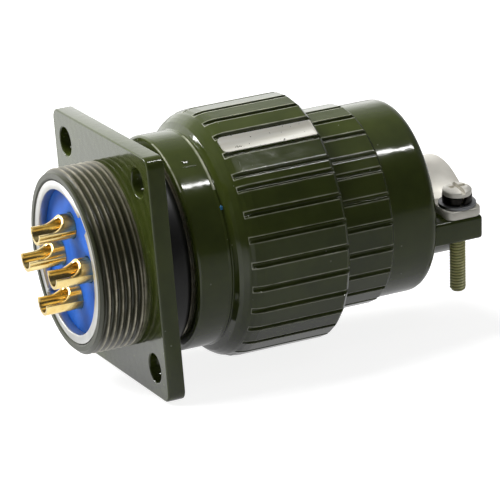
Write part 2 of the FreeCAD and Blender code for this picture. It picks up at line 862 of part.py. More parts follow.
def flute(body, name, start, length, angle, radius, width, depth):
    """One round-bottomed groove along the body, cut from start towards the cable."""
    sketch = new_sketch(body, name + "_outline", "YZ_Plane", start)
    bind(sketch, "AttachmentOffset.Rotation.Angle", "(%s) * 1deg" % angle)
    outline(
        sketch,
        [
            ("%s + cut_over" % radius, "-(%s) / 2" % width),
            ("%s + cut_over" % radius, "(%s) / 2" % width),
            ("%s" % radius, "(%s) / 2" % width),
            ("%s - %s + (%s) / 4" % (radius, depth, width), "(%s) / 4" % width),
            ("%s - %s + (%s) / 4" % (radius, depth, width), "-(%s) / 4" % width, "(%s) * 0.3" % width),
            ("%s" % radius, "-(%s) / 2" % width),
        ],
    )
    return extrude(body, name, sketch, length, "Pocket")


grip_groove = flute(
    nut,
    "grip_groove",
    "nut_step",
    "nut_rear - nut_step + cut_over",
    "grip_first_groove",
    "grip_radius",
    "grip_groove_width",
    "grip_groove_depth",
)
polar(nut, "grip_grooves", grip_groove, "360 - grip_short_land", "grip_groove_count")
pad_sketch = new_sketch(nut, "flat_pad_outline", "YZ_Plane", "nut_step + pad_start")
bind(pad_sketch, "AttachmentOffset.Rotation.Angle", "pad_angle * 1deg")
rectangle(
    pad_sketch,
    "grip_radius - pad_recess",
    "grip_radius + cut_over",
    "-pad_width / 2",
    "pad_width / 2",
)
extrude(nut, "flat_pad", pad_sketch, "nut_rear - nut_step - pad_start + cut_over", "Pocket")

# Backshell: fluted front, plain rear with a rounded end, and the clamp's lower jaw in one piece with it.
backshell = new_body("backshell")
turn(
    backshell,
    "backshell_outside",
    [
        ("backshell_front", "0"),
        ("backshell_front", "fluted_radius"),
        ("fluted_end", "fluted_radius"),
        ("fluted_end + fluted_radius - backshell_radius", "backshell_radius"),
        ("backshell_end", "backshell_radius"),
        ("backshell_end", "0"),
    ],
)
end_edges = round_edges(backshell, "x", ("backshell_end", "backshell_radius"))
dress(backshell, "end_round", "Fillet", end_edges, "backshell_round")
jaw_sketch = new_sketch(backshell, "jaw_outline", "YZ_Plane", "backshell_end - end_wall / 2")
outline(
    jaw_sketch,
    [
        ("jaw_half_width", "0"),
        ("-jaw_half_width", "0"),
        ("-jaw_half_width", "-lug_thickness"),
        ("-sqrt(jaw_radius ^ 2 - lug_thickness ^ 2)", "-lug_thickness"),
        ("sqrt(jaw_radius ^ 2 - lug_thickness ^ 2)", "-lug_thickness", "-jaw_radius"),
        ("jaw_half_width", "-lug_thickness"),
    ],
)
extrude(backshell, "jaw", jaw_sketch, "jaw_length + end_wall / 2")
dress(
    backshell,
    "lug_corners",
    "Fillet",
    straight_edges(backshell, "z", y="jaw_half_width", x="backshell_end + jaw_length"),
    "lug_corner_radius",
)
turn(
    backshell,
    "backshell_inside",
    [
        ("backshell_front - cut_over", "0"),
        ("backshell_front - cut_over", "plug_thread_radius"),
        ("backshell_seat", "plug_thread_radius"),
        ("backshell_seat", "wire_cavity_radius"),
        ("backshell_end - end_wall", "wire_cavity_radius"),
        ("backshell_end - end_wall", "cable_bore_radius"),
        ("backshell_end + jaw_length + cut_over", "cable_bore_radius"),
        ("backshell_end + jaw_length + cut_over", "0"),
    ],
    "Groove",
)
flute_cut = flute(
    backshell,
    "flute",
    "backshell_front",
    "flute_length",
    "flute_first - clamp_turn",
    "fluted_radius",
    "flute_width",
    "flute_depth",
)
polar(backshell, "flutes", flute_cut, "360 - flute_short_land", "flute_count")
tapped_sketch = new_sketch(backshell, "tapped_hole_circles", "XY_Plane")
circle(tapped_sketch, "screw_place", "screw_offset", "screw_radius + screw_thread_clearance")
circle(tapped_sketch, "screw_place", "-screw_offset", "screw_radius + screw_thread_clearance")
extrude(backshell, "tapped_holes", tapped_sketch, "lug_thickness + cut_over", "Pocket", towards_normal=False)
set_place(backshell, turn_about_x="clamp_turn")

# Clamp saddle: a bent strap with a low arch over the cable and two flat ears.
saddle = new_body("clamp_saddle")
saddle_sketch = new_sketch(saddle, "saddle_outline", "YZ_Plane", "saddle_front")
outline(
    saddle_sketch,
    [
        ("-jaw_half_width", "0"),
        ("-arch_inner_foot", "0"),
        ("arch_inner_foot", "0", "arch_radius - saddle_thickness"),
        ("jaw_half_width", "0"),
        ("jaw_half_width", "saddle_thickness"),
        ("arch_foot", "saddle_thickness"),
        ("-arch_foot", "saddle_thickness", "-arch_radius"),
        ("-jaw_half_width", "saddle_thickness"),
    ],
)
extrude(saddle, "strap", saddle_sketch, "saddle_width")
dress(
    saddle,
    "arch_feet",
    "Fillet",
    straight_edges(saddle, "x", y="arch_foot", z="saddle_thickness"),
    "saddle_fillet",
)
ear_edges = straight_edges(saddle, "z", y="jaw_half_width")
dress(saddle, "ear_corners", "Fillet", ear_edges, "saddle_corner_radius")
saddle_holes = new_sketch(saddle, "saddle_hole_circles", "XY_Plane", "-cut_over")
circle(saddle_holes, "screw_place", "screw_offset", "screw_radius + screw_clearance")
circle(saddle_holes, "screw_place", "-screw_offset", "screw_radius + screw_clearance")
extrude(saddle, "screw_holes", saddle_holes, "saddle_thickness + 2 * cut_over", "Pocket")
set_place(saddle, turn_about_x="clamp_turn")

# Clamp screws with their washers, left and right of the cable as seen from the solder cups.
for hand, side in (("left", ""), ("right", "-")):
    place = {"along": "screw_place", "across": side + "screw_offset", "turn_about_x": "clamp_turn"}
    washer = new_body("flat_washer_" + hand)
    turn(
        washer,
        "flat_washer_ring_" + hand,
        [
            ("screw_radius + screw_clearance", "0"),
            ("flat_washer_radius", "0"),
            ("flat_washer_radius", "flat_washer_thickness"),
            ("screw_radius + screw_clearance", "flat_washer_thickness"),
        ],
        axis="V_Axis",
    )
    set_place(washer, up="saddle_thickness", **place)
    spring = new_body("spring_washer_" + hand)
    turn(
        spring,
        "spring_washer_ring_" + hand,
        [
            ("screw_radius + screw_clearance", "0"),
            ("spring_washer_radius", "0"),
            ("spring_washer_radius", "spring_washer_thickness"),
            ("screw_radius + screw_clearance", "spring_washer_thickness"),
        ],
        axis="V_Axis",
    )
    split_sketch = new_sketch(spring, "split_outline_" + hand, "XZ_Plane")
    outline(
        split_sketch,
        [
            ("-spring_washer_split", "0"),
            ("0", "0"),
            ("spring_washer_split", "spring_washer_thickness"),
            ("0", "spring_washer_thickness"),
        ],
    )
    split_reach = "spring_washer_radius + cut_over"
    extrude(spring, "split_" + hand, split_sketch, split_reach, "Pocket", towards_normal=True)
    set_place(spring, up="saddle_thickness + flat_washer_thickness", **place)
    screw = new_body("clamp_screw_" + hand)
    turn(
        screw,
        "screw_blank_" + hand,
        [
            ("0", "-screw_length"),
            ("screw_radius - screw_tip_chamfer", "-screw_length"),
            ("screw_radius", "-screw_length + screw_tip_chamfer"),
            ("screw_radius", "0"),
            ("screw_head_radius", "0"),
            ("screw_head_radius", "screw_head_height"),
            ("0", "screw_head_height"),
        ],
        axis="V_Axis",
    )
    dress(
        screw,
        "head_round_" + hand,
        "Fillet",
        round_edges(screw, "z", ("screw_head_height", "screw_head_radius")),
        "screw_head_round",
    )
    driver_sketch = new_sketch(screw, "driver_slot_outline_" + hand, "XY_Plane", "screw_head_height")
    rectangle(
        driver_sketch,
        "-screw_head_radius - cut_over",
        "screw_head_radius + cut_over",
        "-screw_slot_width / 2",
        "screw_slot_width / 2",
    )
    extrude(screw, "driver_slot_" + hand, driver_sketch, "screw_slot_depth", "Pocket", towards_normal=False)
    set_place(screw, up="saddle_thickness + flat_washer_thickness + spring_washer_thickness", **place)

doc.recompute()
for thing in doc.Objects:
    if {"Invalid", "Error"} & set(thing.State):
        raise RuntimeError("%s failed: %s" % (thing.Name, thing.State))
bodies = [thing for thing in doc.Objects if thing.TypeId == "PartDesign::Body"]
for body in bodies:
    shape = body.Shape
    if shape.isNull() or not shape.isValid():
        raise RuntimeError("%s has no valid shape" % body.Label)
    if len(shape.Solids) != 1:
        raise RuntimeError("%s has %d solids" % (body.Label, len(shape.Solids)))
for body in bodies:
    body.Shape.exportStep("parts/%s.step" % body.Label)
print("%d pieces" % len(bodies))
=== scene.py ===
import math

import bmesh
import bpy
from mathutils import Matrix, Vector


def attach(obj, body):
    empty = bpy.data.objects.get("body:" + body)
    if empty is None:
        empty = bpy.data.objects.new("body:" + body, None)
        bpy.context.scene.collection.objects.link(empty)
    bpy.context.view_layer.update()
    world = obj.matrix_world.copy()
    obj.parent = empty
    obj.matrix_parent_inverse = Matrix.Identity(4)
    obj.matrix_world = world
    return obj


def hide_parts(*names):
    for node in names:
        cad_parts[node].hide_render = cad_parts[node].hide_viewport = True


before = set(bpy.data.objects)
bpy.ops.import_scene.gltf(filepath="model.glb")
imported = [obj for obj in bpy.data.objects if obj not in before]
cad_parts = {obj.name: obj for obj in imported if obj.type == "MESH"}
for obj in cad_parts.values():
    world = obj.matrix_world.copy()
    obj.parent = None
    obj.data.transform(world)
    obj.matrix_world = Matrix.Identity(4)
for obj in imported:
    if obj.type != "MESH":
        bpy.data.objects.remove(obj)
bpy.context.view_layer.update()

# Receptacle flange: a square plate cast in one with the threaded body behind and in front of it.
# Aluminium, machined flat, drilled at the corners for four mounting screws, and sprayed all over
# with a thick glossy enamel that rounds every edge a little.


def colour(code):
    """An sRGB hex value as linear red, green, blue and alpha."""
    parts = [int(code[i:i + 2], 16) / 255 for i in (0, 2, 4)]
    return [c / 12.92 if c <= 0.04045 else ((c + 0.055) / 1.055) ** 2.4 for c in parts] + [1.0]


def add(tree, kind, inputs=None, stops=(), **settings):
    """Adds a node with its settings and links. A colour ramp's stops are (place, colour)."""
    made = tree.nodes.new("ShaderNode" + kind)
    for name, value in settings.items():
        setattr(made, name, value)
    for name, value in (inputs or {}).items():
        if isinstance(value, bpy.types.NodeSocket):
            tree.links.new(value, made.inputs[name])
        else:
            made.inputs[name].default_value = value
    for number in range(2, len(stops)):
        made.color_ramp.elements.new(0.5)
    for number, (place, tint) in enumerate(stops):
        made.color_ramp.elements[number].position = place
        made.color_ramp.elements[number].color = tint
    return made


def blank_material(name):
    """A new material and its empty node tree."""
    material = bpy.data.materials.new(name)
    material.use_nodes = True
    material.node_tree.nodes.clear()
    return material, material.node_tree


def grey(level):
    """A linear grey, for a share of something or a level of light."""
    return (level, level, level, 1.0)


# Olive stoving enamel over cast aluminium: glossy, with the faint ripple of a sprayed coat, a little
# darker where it pools, with painted highlights along lips and rims, and a few grains of dust under it.
# Here and below, a pattern's size is in millimetres from one mark to the next, and shaders use metres.
POOLS = 5.56
DUST = 1.11
DUST_PATCHES = 2.38
PEEL = 1.43
enamel, tree = blank_material("olive_enamel")
place = add(tree, "TexCoord").outputs["Object"]
cloud = add(tree, "TexNoise", {"Vector": place, "Scale": 1000 / POOLS, "Detail": 3.0})
olives = [(0.3, colour("39421A")), (0.7, colour("444D1F"))]
tone = add(tree, "ValToRGB", {"Fac": cloud.outputs["Fac"]}, olives).outputs["Color"]
dust = add(tree, "TexVoronoi", {"Vector": place, "Scale": 1000 / DUST, "Randomness": 1.0})
picked = add(tree, "TexNoise", {"Vector": place, "Scale": 1000 / DUST_PATCHES, "Detail": 1.0})
grain = add(tree, "Math", {0: dust.outputs["Distance"], 1: 0.13}, operation="LESS_THAN")
patchy = add(tree, "Math", {0: picked.outputs["Fac"], 1: 0.64}, operation="GREATER_THAN")
speck = add(tree, "Math", {0: grain.outputs[0], 1: patchy.outputs[0]}, operation="MULTIPLY")
soft_speck = add(tree, "Math", {0: speck.outputs[0], 1: 0.35}, operation="MULTIPLY")
speckled = add(tree, "MixRGB", {"Fac": soft_speck.outputs[0], "Color1": tone, "Color2": colour("8C9178")})
# Painted highlight: the lip attribute marks groove lips and the upper skirt rims, mixed towards near white
# as lit edges.
edge = add(tree, "Attribute", attribute_name="lip")
thin = add(tree, "Math", {0: edge.outputs["Fac"], 1: picked.outputs["Fac"]}, operation="MULTIPLY")
lip_highlight_shades = {"Color1": speckled.outputs["Color"], "Color2": colour("F0F1DA")}
lip_highlighted = add(tree, "MixRGB", {"Fac": thin.outputs[0], **lip_highlight_shades})
peel = add(tree, "TexNoise", {"Vector": place, "Scale": 1000 / PEEL, "Detail": 1.5})
ripple = add(tree, "Bump", {"Height": peel.outputs["Fac"], "Strength": 0.2, "Distance": 0.0001})
glosses = [(0.3, grey(0.07)), (0.7, grey(0.13))]
gloss = add(tree, "ValToRGB", {"Fac": cloud.outputs["Fac"]}, glosses).outputs["Color"]
coat = add(
    tree,
    "BsdfPrincipled",
    {
        "Base Color": lip_highlighted.outputs["Color"],
        "Roughness": gloss,
        "IOR": 1.5,
        "Normal": ripple.outputs["Normal"],
    },
)
add(tree, "OutputMaterial", {"Surface": coat.outputs["BSDF"]})


def show(name, mesh, body, slot, material, *nodes):
    """Puts a mesh, made in millimetres, in the scene on its body, for the CAD nodes that it stands for."""
    mesh.transform(Matrix.Scale(0.001, 4))
    mesh.polygons.foreach_set("use_smooth", [True] * len(mesh.polygons))
    mesh.set_sharp_from_angle(angle=math.radians(40))
    mesh.materials.clear()
    mesh.materials.append(material)
    piece = bpy.data.objects.new(name, mesh)
    bpy.context.scene.collection.objects.link(piece)
    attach(piece, body)
    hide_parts(*nodes)


def arc(centre, radius, start, end, steps):
    """Points on an arc, its angles in degrees."""
    return [
        (
            centre[0] + radius * math.cos(math.radians(start + (end - start) * i / steps)),
            centre[1] + radius * math.sin(math.radians(start + (end - start) * i / steps)),
        )
        for i in range(steps + 1)
    ]


def plate(name, outlines, low, high, edge):
    """A plate across the connector's axis from closed outlines, the outer one first, with rounded edges."""
    curve = bpy.data.curves.new(name, "CURVE")
    curve.dimensions = "2D"
    curve.fill_mode = "BOTH"
    curve.extrude = (high - low) / 2 - edge
    curve.bevel_depth = edge
    curve.bevel_resolution = 3
    curve.offset = -edge
    for outline in outlines:
        spline = curve.splines.new("POLY")
        spline.points.add(len(outline) - 1)
        for point, (across, up) in zip(spline.points, outline):
            point.co = (across, up, 0, 1)
        spline.use_cyclic_u = True
    holder = bpy.data.objects.new(name, curve)
    mesh = bpy.data.meshes.new_from_object(holder)
    bpy.data.objects.remove(holder)
    middle = (low + high) / 2
    mesh.transform(Matrix(((0, 0, 1, middle), (1, 0, 0, 0), (0, 1, 0, 0), (0, 0, 0, 1))))
    return mesh


FLANGE_HALF = 17.75
FLANGE_CORNER = 1.6
FLANGE_THICK = 2.6
FLANGE_EDGE = 0.22
HOLE_OUT = 13.5
HOLE_RADIUS = 2.1
THROAT = 12.9
inner = FLANGE_HALF - FLANGE_CORNER
flange_outline = []
for turn, (side, height) in enumerate(((1, 1), (-1, 1), (-1, -1), (1, -1))):
    flange_outline += arc((side * inner, height * inner), FLANGE_CORNER, 90 * turn, 90 * turn + 90, 8)
flange_openings = [arc((0, 0), THROAT, 0, 357, 119)]
for side in (-1, 1):
    for height in (-1, 1):
        flange_openings.append(arc((side * HOLE_OUT, height * HOLE_OUT), HOLE_RADIUS, 0, 352.5, 47))
flange = plate("flange", [flange_outline] + flange_openings, 0, FLANGE_THICK, FLANGE_EDGE)
show("flange", flange, "receptacle", "olive_paint", enamel, "receptacle_shell")

# Receptacle body: the turned part of the same casting. A fine thread runs behind the flange for a
# panel nut or cap, and the coupling thread in front of it, both cut through the enamel, so they show
# dull metal on the crests and old paint and grease in the roots.


def revolve(name, profile, angles, bend=None):
    """Turns a closed profile of (along, radius) about the connector's axis.

    The angles are in degrees from +Y towards +Z, and bend changes the radius at (along, radius, angle).
    """
    points = []
    for angle in angles:
        level, height = math.cos(math.radians(angle)), math.sin(math.radians(angle))
        for along, radius in profile:
            if bend:
                radius = bend(along, radius, angle)
            points.append((along, radius * level, radius * height))
    row, count = len(profile), len(angles)
    faces = []
    for a in range(count):
        b = (a + 1) % count
        for p in range(row):
            q = (p + 1) % row
            faces.append((a * row + p, a * row + q, b * row + q, b * row + p))
    mesh = bpy.data.meshes.new(name)
    mesh.from_pydata(points, [], faces)
    shape = bmesh.new()
    shape.from_mesh(mesh)
    bmesh.ops.remove_doubles(shape, verts=shape.verts, dist=1e-5)
    bmesh.ops.recalc_face_normals(shape, faces=shape.faces)
    shape.to_mesh(mesh)
    shape.free()
    return mesh


def rounded(corners, steps=4):
    """A closed profile from (along, radius, rounding) corners."""
    points = []
    for i, (x, r, rounding) in enumerate(corners):
        here = Vector((x, r))
        if not rounding:
            points.append((x, r))
            continue
        before = (Vector(corners[i - 1][:2]) - here).normalized()
        after = (Vector(corners[(i + 1) % len(corners)][:2]) - here).normalized()
        half = before.angle(after) / 2
        centre = here + (before + after).normalized() * (rounding / math.sin(half))
        first = here + before * (rounding / math.tan(half)) - centre
        last = here + after * (rounding / math.tan(half)) - centre
        sweep = first.angle_signed(last)
        for step in range(steps + 1):
            spoke = first.copy()
            spoke.rotate(Matrix.Rotation(-sweep * step / steps, 2))
            points.append(tuple(centre + spoke))
    return points


def spaced(profile, step, low, high):
    """The profile with points added, so that between two places along the axis none are a step apart."""
    points = []
    for i, (x, r) in enumerate(profile):
        points.append((x, r))
        next_x, next_r = profile[(i + 1) % len(profile)]
        if low <= min(x, next_x) and max(x, next_x) <= high:
            count = math.ceil(math.hypot(next_x - x, next_r - r) / step)
            shares = [k / count for k in range(1, count)]
            points += [(x + (next_x - x) * share, r + (next_r - r) * share) for share in shares]
    return points


def crest(along, angle, pitch):
    """How high a right-hand thread stands at a place: 1 on its narrow crest and 0 in its narrow root."""
    off = abs((along / pitch - angle / 360 + 0.5) % 1 - 0.5)
    rise = min(max((0.44 - off) / 0.4, 0), 1)
    return rise * rise * (3 - 2 * rise)


REAR_PITCH = 1.0
REAR_CREST = 13.4
REAR_DEPTH = 0.52
REAR_ROOT = 12.8
FRONT_PITCH = 1.5
FRONT_CREST = 13.9
FRONT_DEPTH = 0.75
KEYWAY_FLOOR = 12.6
KEYWAY_HALF_ANGLE = 6.05
rear_corners = [(-6.8, 12.85), (-6.2, REAR_CREST), (-0.15, REAR_CREST), (0.6, REAR_CREST)]
rear_corners += [(2.0, REAR_CREST), (2.0, 13.0), (6.2, 13.0), (6.2, 13.3)]
shell_profile = spaced(rear_corners, 0.1, -6.9, -0.1)
shell_profile += spaced([(6.8, FRONT_CREST), (15.4, FRONT_CREST)], 0.25, 6.7, 15.5)
shell_profile += [(16.0, 13.3), (16.0, 12.1), (15.7, 11.8), (3.6, 11.8), (3.6, 10.2)]
shell_profile += [(2.0, 10.2), (2.0, 11.9), (-6.6, 11.9), (-6.8, 12.1)]


def shell_bend(along, radius, angle):
    """Cuts the thread behind the flange, which runs out at it, the coupling thread and the keyway."""
    if radius > REAR_ROOT and along < 0.1:
        room = min(1, (radius - REAR_ROOT) / 0.5)
        fade = min(max((-0.1 - along) / 0.4, 0), 1)
        return radius - REAR_DEPTH * room * (1 - crest(along, angle, REAR_PITCH)) * fade
    if radius > 13.2 and along > 6.5:
        return radius - FRONT_DEPTH * (1 - crest(along, angle, FRONT_PITCH))
    if 3.6 < along and radius < 12.2 and abs(angle - 90) < KEYWAY_HALF_ANGLE:
        return KEYWAY_FLOOR
    return radius


keyway_walls = [90 + side * (KEYWAY_HALF_ANGLE + beside) for side in (-1, 1) for beside in (-0.02, 0.05)]
shell_angles = sorted([i * 2.0 for i in range(180)] + keyway_walls)
turned = revolve("shell_turned", shell_profile, shell_angles, shell_bend)

# Cut and handled aluminium thread: the crests are rubbed to dull grey metal, and the roots keep dark
# olive paint and grease. The paint also stays on the thread's first turn.
WEAR = 3.125
worn_thread, tree = blank_material("worn_thread")
place = add(tree, "TexCoord").outputs["Object"]
spoke = add(tree, "VectorMath", {0: place, 1: (0, 1, 1)}, operation="MULTIPLY")
radius = add(tree, "VectorMath", {0: spoke.outputs["Vector"]}, operation="LENGTH")
flank = {"From Min": (REAR_CREST - 0.28) / 1000, "From Max": (REAR_CREST - 0.02) / 1000}
rubbed = add(tree, "MapRange", {"Value": radius.outputs["Value"], **flank})
wear = add(tree, "TexNoise", {"Vector": place, "Scale": 1000 / WEAR, "Detail": 5.0, "Roughness": 0.7})
worn = add(tree, "Math", {0: rubbed.outputs["Result"], 1: wear.outputs["Fac"]}, operation="MULTIPLY")
greases = [(0.0, colour("3A3A29")), (0.3, colour("625E4B")), (0.62, colour("A8A391"))]
tint = add(tree, "ValToRGB", {"Fac": worn.outputs[0]}, greases).outputs["Color"]
split = add(tree, "SeparateXYZ", {"Vector": place})
painted = {"From Min": -0.0064, "From Max": -0.0061, "To Min": 1.0, "To Max": 0.0}
lip = add(tree, "MapRange", {"Value": split.outputs["X"], **painted})
edged = add(tree, "MixRGB", {"Fac": lip.outputs["Result"], "Color1": tint, "Color2": colour("3A3D28")})
bareness = [(0.2, grey(0.0)), (0.5, grey(0.6))]
bare = add(tree, "ValToRGB", {"Fac": worn.outputs[0]}, bareness).outputs["Color"]
rub = add(tree, "Bump", {"Height": wear.outputs["Fac"], "Strength": 0.25, "Distance": 0.00015})
thread_metal = add(
    tree,
    "BsdfPrincipled",
    {
        "Base Color": edged.outputs["Color"],
        "Metallic": bare,
        "Roughness": 0.36,
        "Normal": rub.outputs["Normal"],
    },
)
add(tree, "OutputMaterial", {"Surface": thread_metal.outputs["BSDF"]})
show("receptacle_body", turned, "receptacle", "satin_aluminium", worn_thread, "receptacle_shell")

# Inserts: the receptacle's two discs of blue moulded thermoset hold its four contacts. They are pushed
# in from behind and held by a slotted ring nut of plain turned aluminium. The plug's two discs sit the
# same way in a turned aluminium shell.


def softened(node, edge):
    """A copy of a CAD node's mesh, in millimetres, with its sharp edges rounded off."""
    shape = bmesh.new()
    shape.from_mesh(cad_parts[node].data)
    bmesh.ops.scale(shape, vec=(1000, 1000, 1000), verts=shape.verts)
    bmesh.ops.remove_doubles(shape, verts=shape.verts, dist=1e-4)
    bmesh.ops.dissolve_limit(
        shape,
        angle_limit=math.radians(0.5),
        verts=shape.verts,
        edges=shape.edges,
        use_dissolve_boundaries=False,
    )
    sharp = [e for e in shape.edges if len(e.link_faces) == 2 and e.calc_face_angle(0) > math.radians(35)]
    bmesh.ops.bevel(
        shape,
        geom=sharp,
        offset=edge,
        offset_type="OFFSET",
        segments=2,
        profile=0.5,
        affect="EDGES",
        clamp_overlap=True,
    )
    mesh = bpy.data.meshes.new(node)
    shape.to_mesh(mesh)
    shape.free()
    return mesh


# Blue moulded thermoset: an even, slightly satin face with the very fine grain of the mould.
MOTTLE = 3.85
MOULD_GRAIN = 0.385
moulding, tree = blank_material("blue_moulding")
place = add(tree, "TexCoord").outputs["Object"]
mottle = add(tree, "TexNoise", {"Vector": place, "Scale": 1000 / MOTTLE, "Detail": 4.0})
blues = [(0.3, colour("1F69DC")), (0.7, colour("2F7AEE"))]
blue = add(tree, "ValToRGB", {"Fac": mottle.outputs["Fac"]}, blues).outputs["Color"]
fine = add(tree, "TexNoise", {"Vector": place, "Scale": 1000 / MOULD_GRAIN, "Detail": 2.0})
matt = add(tree, "Bump", {"Height": fine.outputs["Fac"], "Strength": 0.12, "Distance": 0.00005})
resin = add(
    tree,
    "BsdfPrincipled",
    {"Base Color": blue, "Roughness": 0.55, "Specular IOR Level": 0.25, "Normal": matt.outputs["Normal"]},
)
add(tree, "OutputMaterial", {"Surface": resin.outputs["BSDF"]})
for node in ("receptacle_insert_rear", "receptacle_insert_front", "plug_insert_front", "plug_insert_rear"):
    body = node.split("_")[0]
    show(node + "_moulding", softened(node, 0.08), body, "blue_moulding", moulding, node)

# Turned aluminium: pale satin metal with fine rings left by the lathe tool, drawn a little coarse.
TOOL_RINGS = 0.12
CLOUDS = 2.5
turned_metal, tree = blank_material("turned_aluminium")
place = add(tree, "TexCoord").outputs["Object"]
spoke = add(tree, "VectorMath", {0: place, 1: (0, 1, 1)}, operation="MULTIPLY")
radius = add(tree, "VectorMath", {0: spoke.outputs["Vector"]}, operation="LENGTH")
turns = 2 * math.pi * 1000 / TOOL_RINGS
feed = add(tree, "Math", {0: radius.outputs["Value"], 1: turns}, operation="MULTIPLY")
rings = add(tree, "Math", {0: feed.outputs[0]}, operation="SINE")
tooled = add(tree, "Bump", {"Height": rings.outputs[0], "Strength": 0.12, "Distance": 0.00002})
clouded = add(tree, "TexNoise", {"Vector": place, "Scale": 1000 / CLOUDS, "Detail": 4.0})
silvers = [(0.3, colour("BCBCB9")), (0.7, colour("D0D0CD"))]
pale = add(tree, "ValToRGB", {"Fac": clouded.outputs["Fac"]}, silvers).outputs["Color"]
metal = add(
    tree,
    "BsdfPrincipled",
    {"Base Color": pale, "Metallic": 1.0, "Roughness": 0.34, "Normal": tooled.outputs["Normal"]},
)
add(tree, "OutputMaterial", {"Surface": metal.outputs["BSDF"]})
for node in ("receptacle_ring_nut", "plug_ring_nut", "plug_shell"):
    body = node.split("_")[0]
    show(node + "_turned", softened(node, 0.12), body, "satin_aluminium", turned_metal, node)

# Contacts: turned brass, gold plated, with a solder cup cut open on its upper side. The sockets are
# trapped between the halves of the receptacle's insert, and the pins in the plug's.

# Gold plate over turned brass: warm, bright and mirror-like, a little uneven in the cup.
PLATING = 2.0
gold, tree = blank_material("gold_plate")
place = add(tree, "TexCoord").outputs["Object"]
uneven = add(tree, "TexNoise", {"Vector": place, "Scale": 1000 / PLATING, "Detail": 3.0})
golds = [(0.3, colour("E2C279")), (0.7, colour("F4DFA0"))]
warm = add(tree, "ValToRGB", {"Fac": uneven.outputs["Fac"]}, golds).outputs["Color"]
shines = [(0.3, grey(0.14)), (0.7, grey(0.24))]
shine = add(tree, "ValToRGB", {"Fac": uneven.outputs["Fac"]}, shines).outputs["Color"]
plating = add(tree, "BsdfPrincipled", {"Base Color": warm, "Metallic": 1.0, "Roughness": shine})
add(tree, "OutputMaterial", {"Surface": plating.outputs["BSDF"]})
for number in (1, 2, 3, 4):
    for node, body in (("socket_contact_%d" % number, "receptacle"), ("pin_contact_%d" % number, "plug")):
        show(node + "_plated", softened(node, 0.07), body, "gold_plate", gold, node)

# Seals: a thick rubber ring stretched over the receptacle's neck, which the nut's skirt runs up to, and
# two thin rings inside that the nut and the backshell squeeze.

# Moulded black nitrile rubber: matt, with a soft sheen along its round outside.
BLOOM = 2.86
rubber, tree = blank_material("black_rubber")
place = add(tree, "TexCoord").outputs["Object"]
bloom = add(tree, "TexNoise", {"Vector": place, "Scale": 1000 / BLOOM, "Detail": 4.0})
blacks = [(0.3, colour("0F0F0E")), (0.75, colour("1D1D1B"))]
black = add(tree, "ValToRGB", {"Fac": bloom.outputs["Fac"]}, blacks).outputs["Color"]
pores = add(tree, "Bump", {"Height": bloom.outputs["Fac"], "Strength": 0.2, "Distance": 0.0001})
nitrile = add(
    tree,
    "BsdfPrincipled",
    {"Base Color": black, "Roughness": 0.42, "IOR": 1.52, "Normal": pores.outputs["Normal"]},
)
add(tree, "OutputMaterial", {"Surface": nitrile.outputs["BSDF"]})
even_turn = [i * 2.5 for i in range(144)]
NECK_INNER = 13.05
NECK_OUTER = 14.9
NECK_END = 6.7
neck_profile = rounded(
    [
        (FLANGE_THICK, NECK_INNER, 0.1),
        (FLANGE_THICK, NECK_OUTER, 1.3),
        (NECK_END, NECK_OUTER, 1.6),
        (NECK_END, NECK_INNER, 0.1),
    ],
    8,
)
neck = revolve("neck_ring", neck_profile, even_turn)
show("neck_ring", neck, "receptacle", "black_rubber", rubber, "neck_seal")
for node, body in (("interface_seal", "receptacle"), ("backshell_seal", "plug")):
    show(node + "_ring", softened(node, 0.15), body, "black_rubber", rubber, node)

# Coupling nut: turned aluminium that draws the two halves together. Its smooth skirt covers the
# thread, and the wider grip behind is milled with shallow lengthwise grooves and enamelled over. One
# land is milled flat and left bare.
GRIP_FIRST = 146.1
GRIP_COUNT = 31
GRIP_SHORT = 6.6
grip_pitch = (360 - GRIP_SHORT) / (GRIP_COUNT - 1)
grip_grooves = [(GRIP_FIRST + i * grip_pitch) % 360 for i in range(GRIP_COUNT)]


def groove_angles(places, radius, width):
    """Angles for a revolved grid that follow each groove's lips and floor closely and the lands loosely."""
    offsets = [0, 0.15, 0.3, 0.4, 0.47, 0.54, 0.62, 0.75, 1.0]
    degrees = math.degrees(width / radius)
    near = [place + side * off * degrees for place in places for off in offsets for side in (-1, 1)]
    angles = sorted({round(a % 360, 4) for a in near})
    filled = []
    for i, angle in enumerate(angles):
        gap = (angles[(i + 1) % len(angles)] - angle) % 360
        count = max(1, math.ceil(gap / 2.2))
        filled += [(angle + gap * k / count) % 360 for k in range(count)]
    return sorted(filled)


def groove_floor(angle, places, radius, width, depth):
    """Radius of the round-bottomed cutter's path at an angle: far outside the metal between grooves."""
    off = min(abs((angle - place + 180) % 360 - 180) for place in places)
    share = math.radians(off) * radius / (width / 2)
    return radius - depth + depth * 1.25 * share ** 3


def land_face(angle, places, radius, width):
    """Radius of the land at an angle: each is a flat between its grooves' lips, which stay at radius."""
    after = min(((place - angle) % 360) for place in places)
    before = min(((angle - place) % 360) for place in places)
    half = (after + before) / 2 - math.degrees(width / 2 / radius)
    off = min(abs(after - before) / 2, half)
    return radius * math.cos(math.radians(half)) / math.cos(math.radians(off))


def soft_least(a, b, blend):
    """The smaller of two values, rounded where they meet."""
    near = max(blend - abs(a - b), 0) / blend
    return min(a, b) - near * near * blend / 4


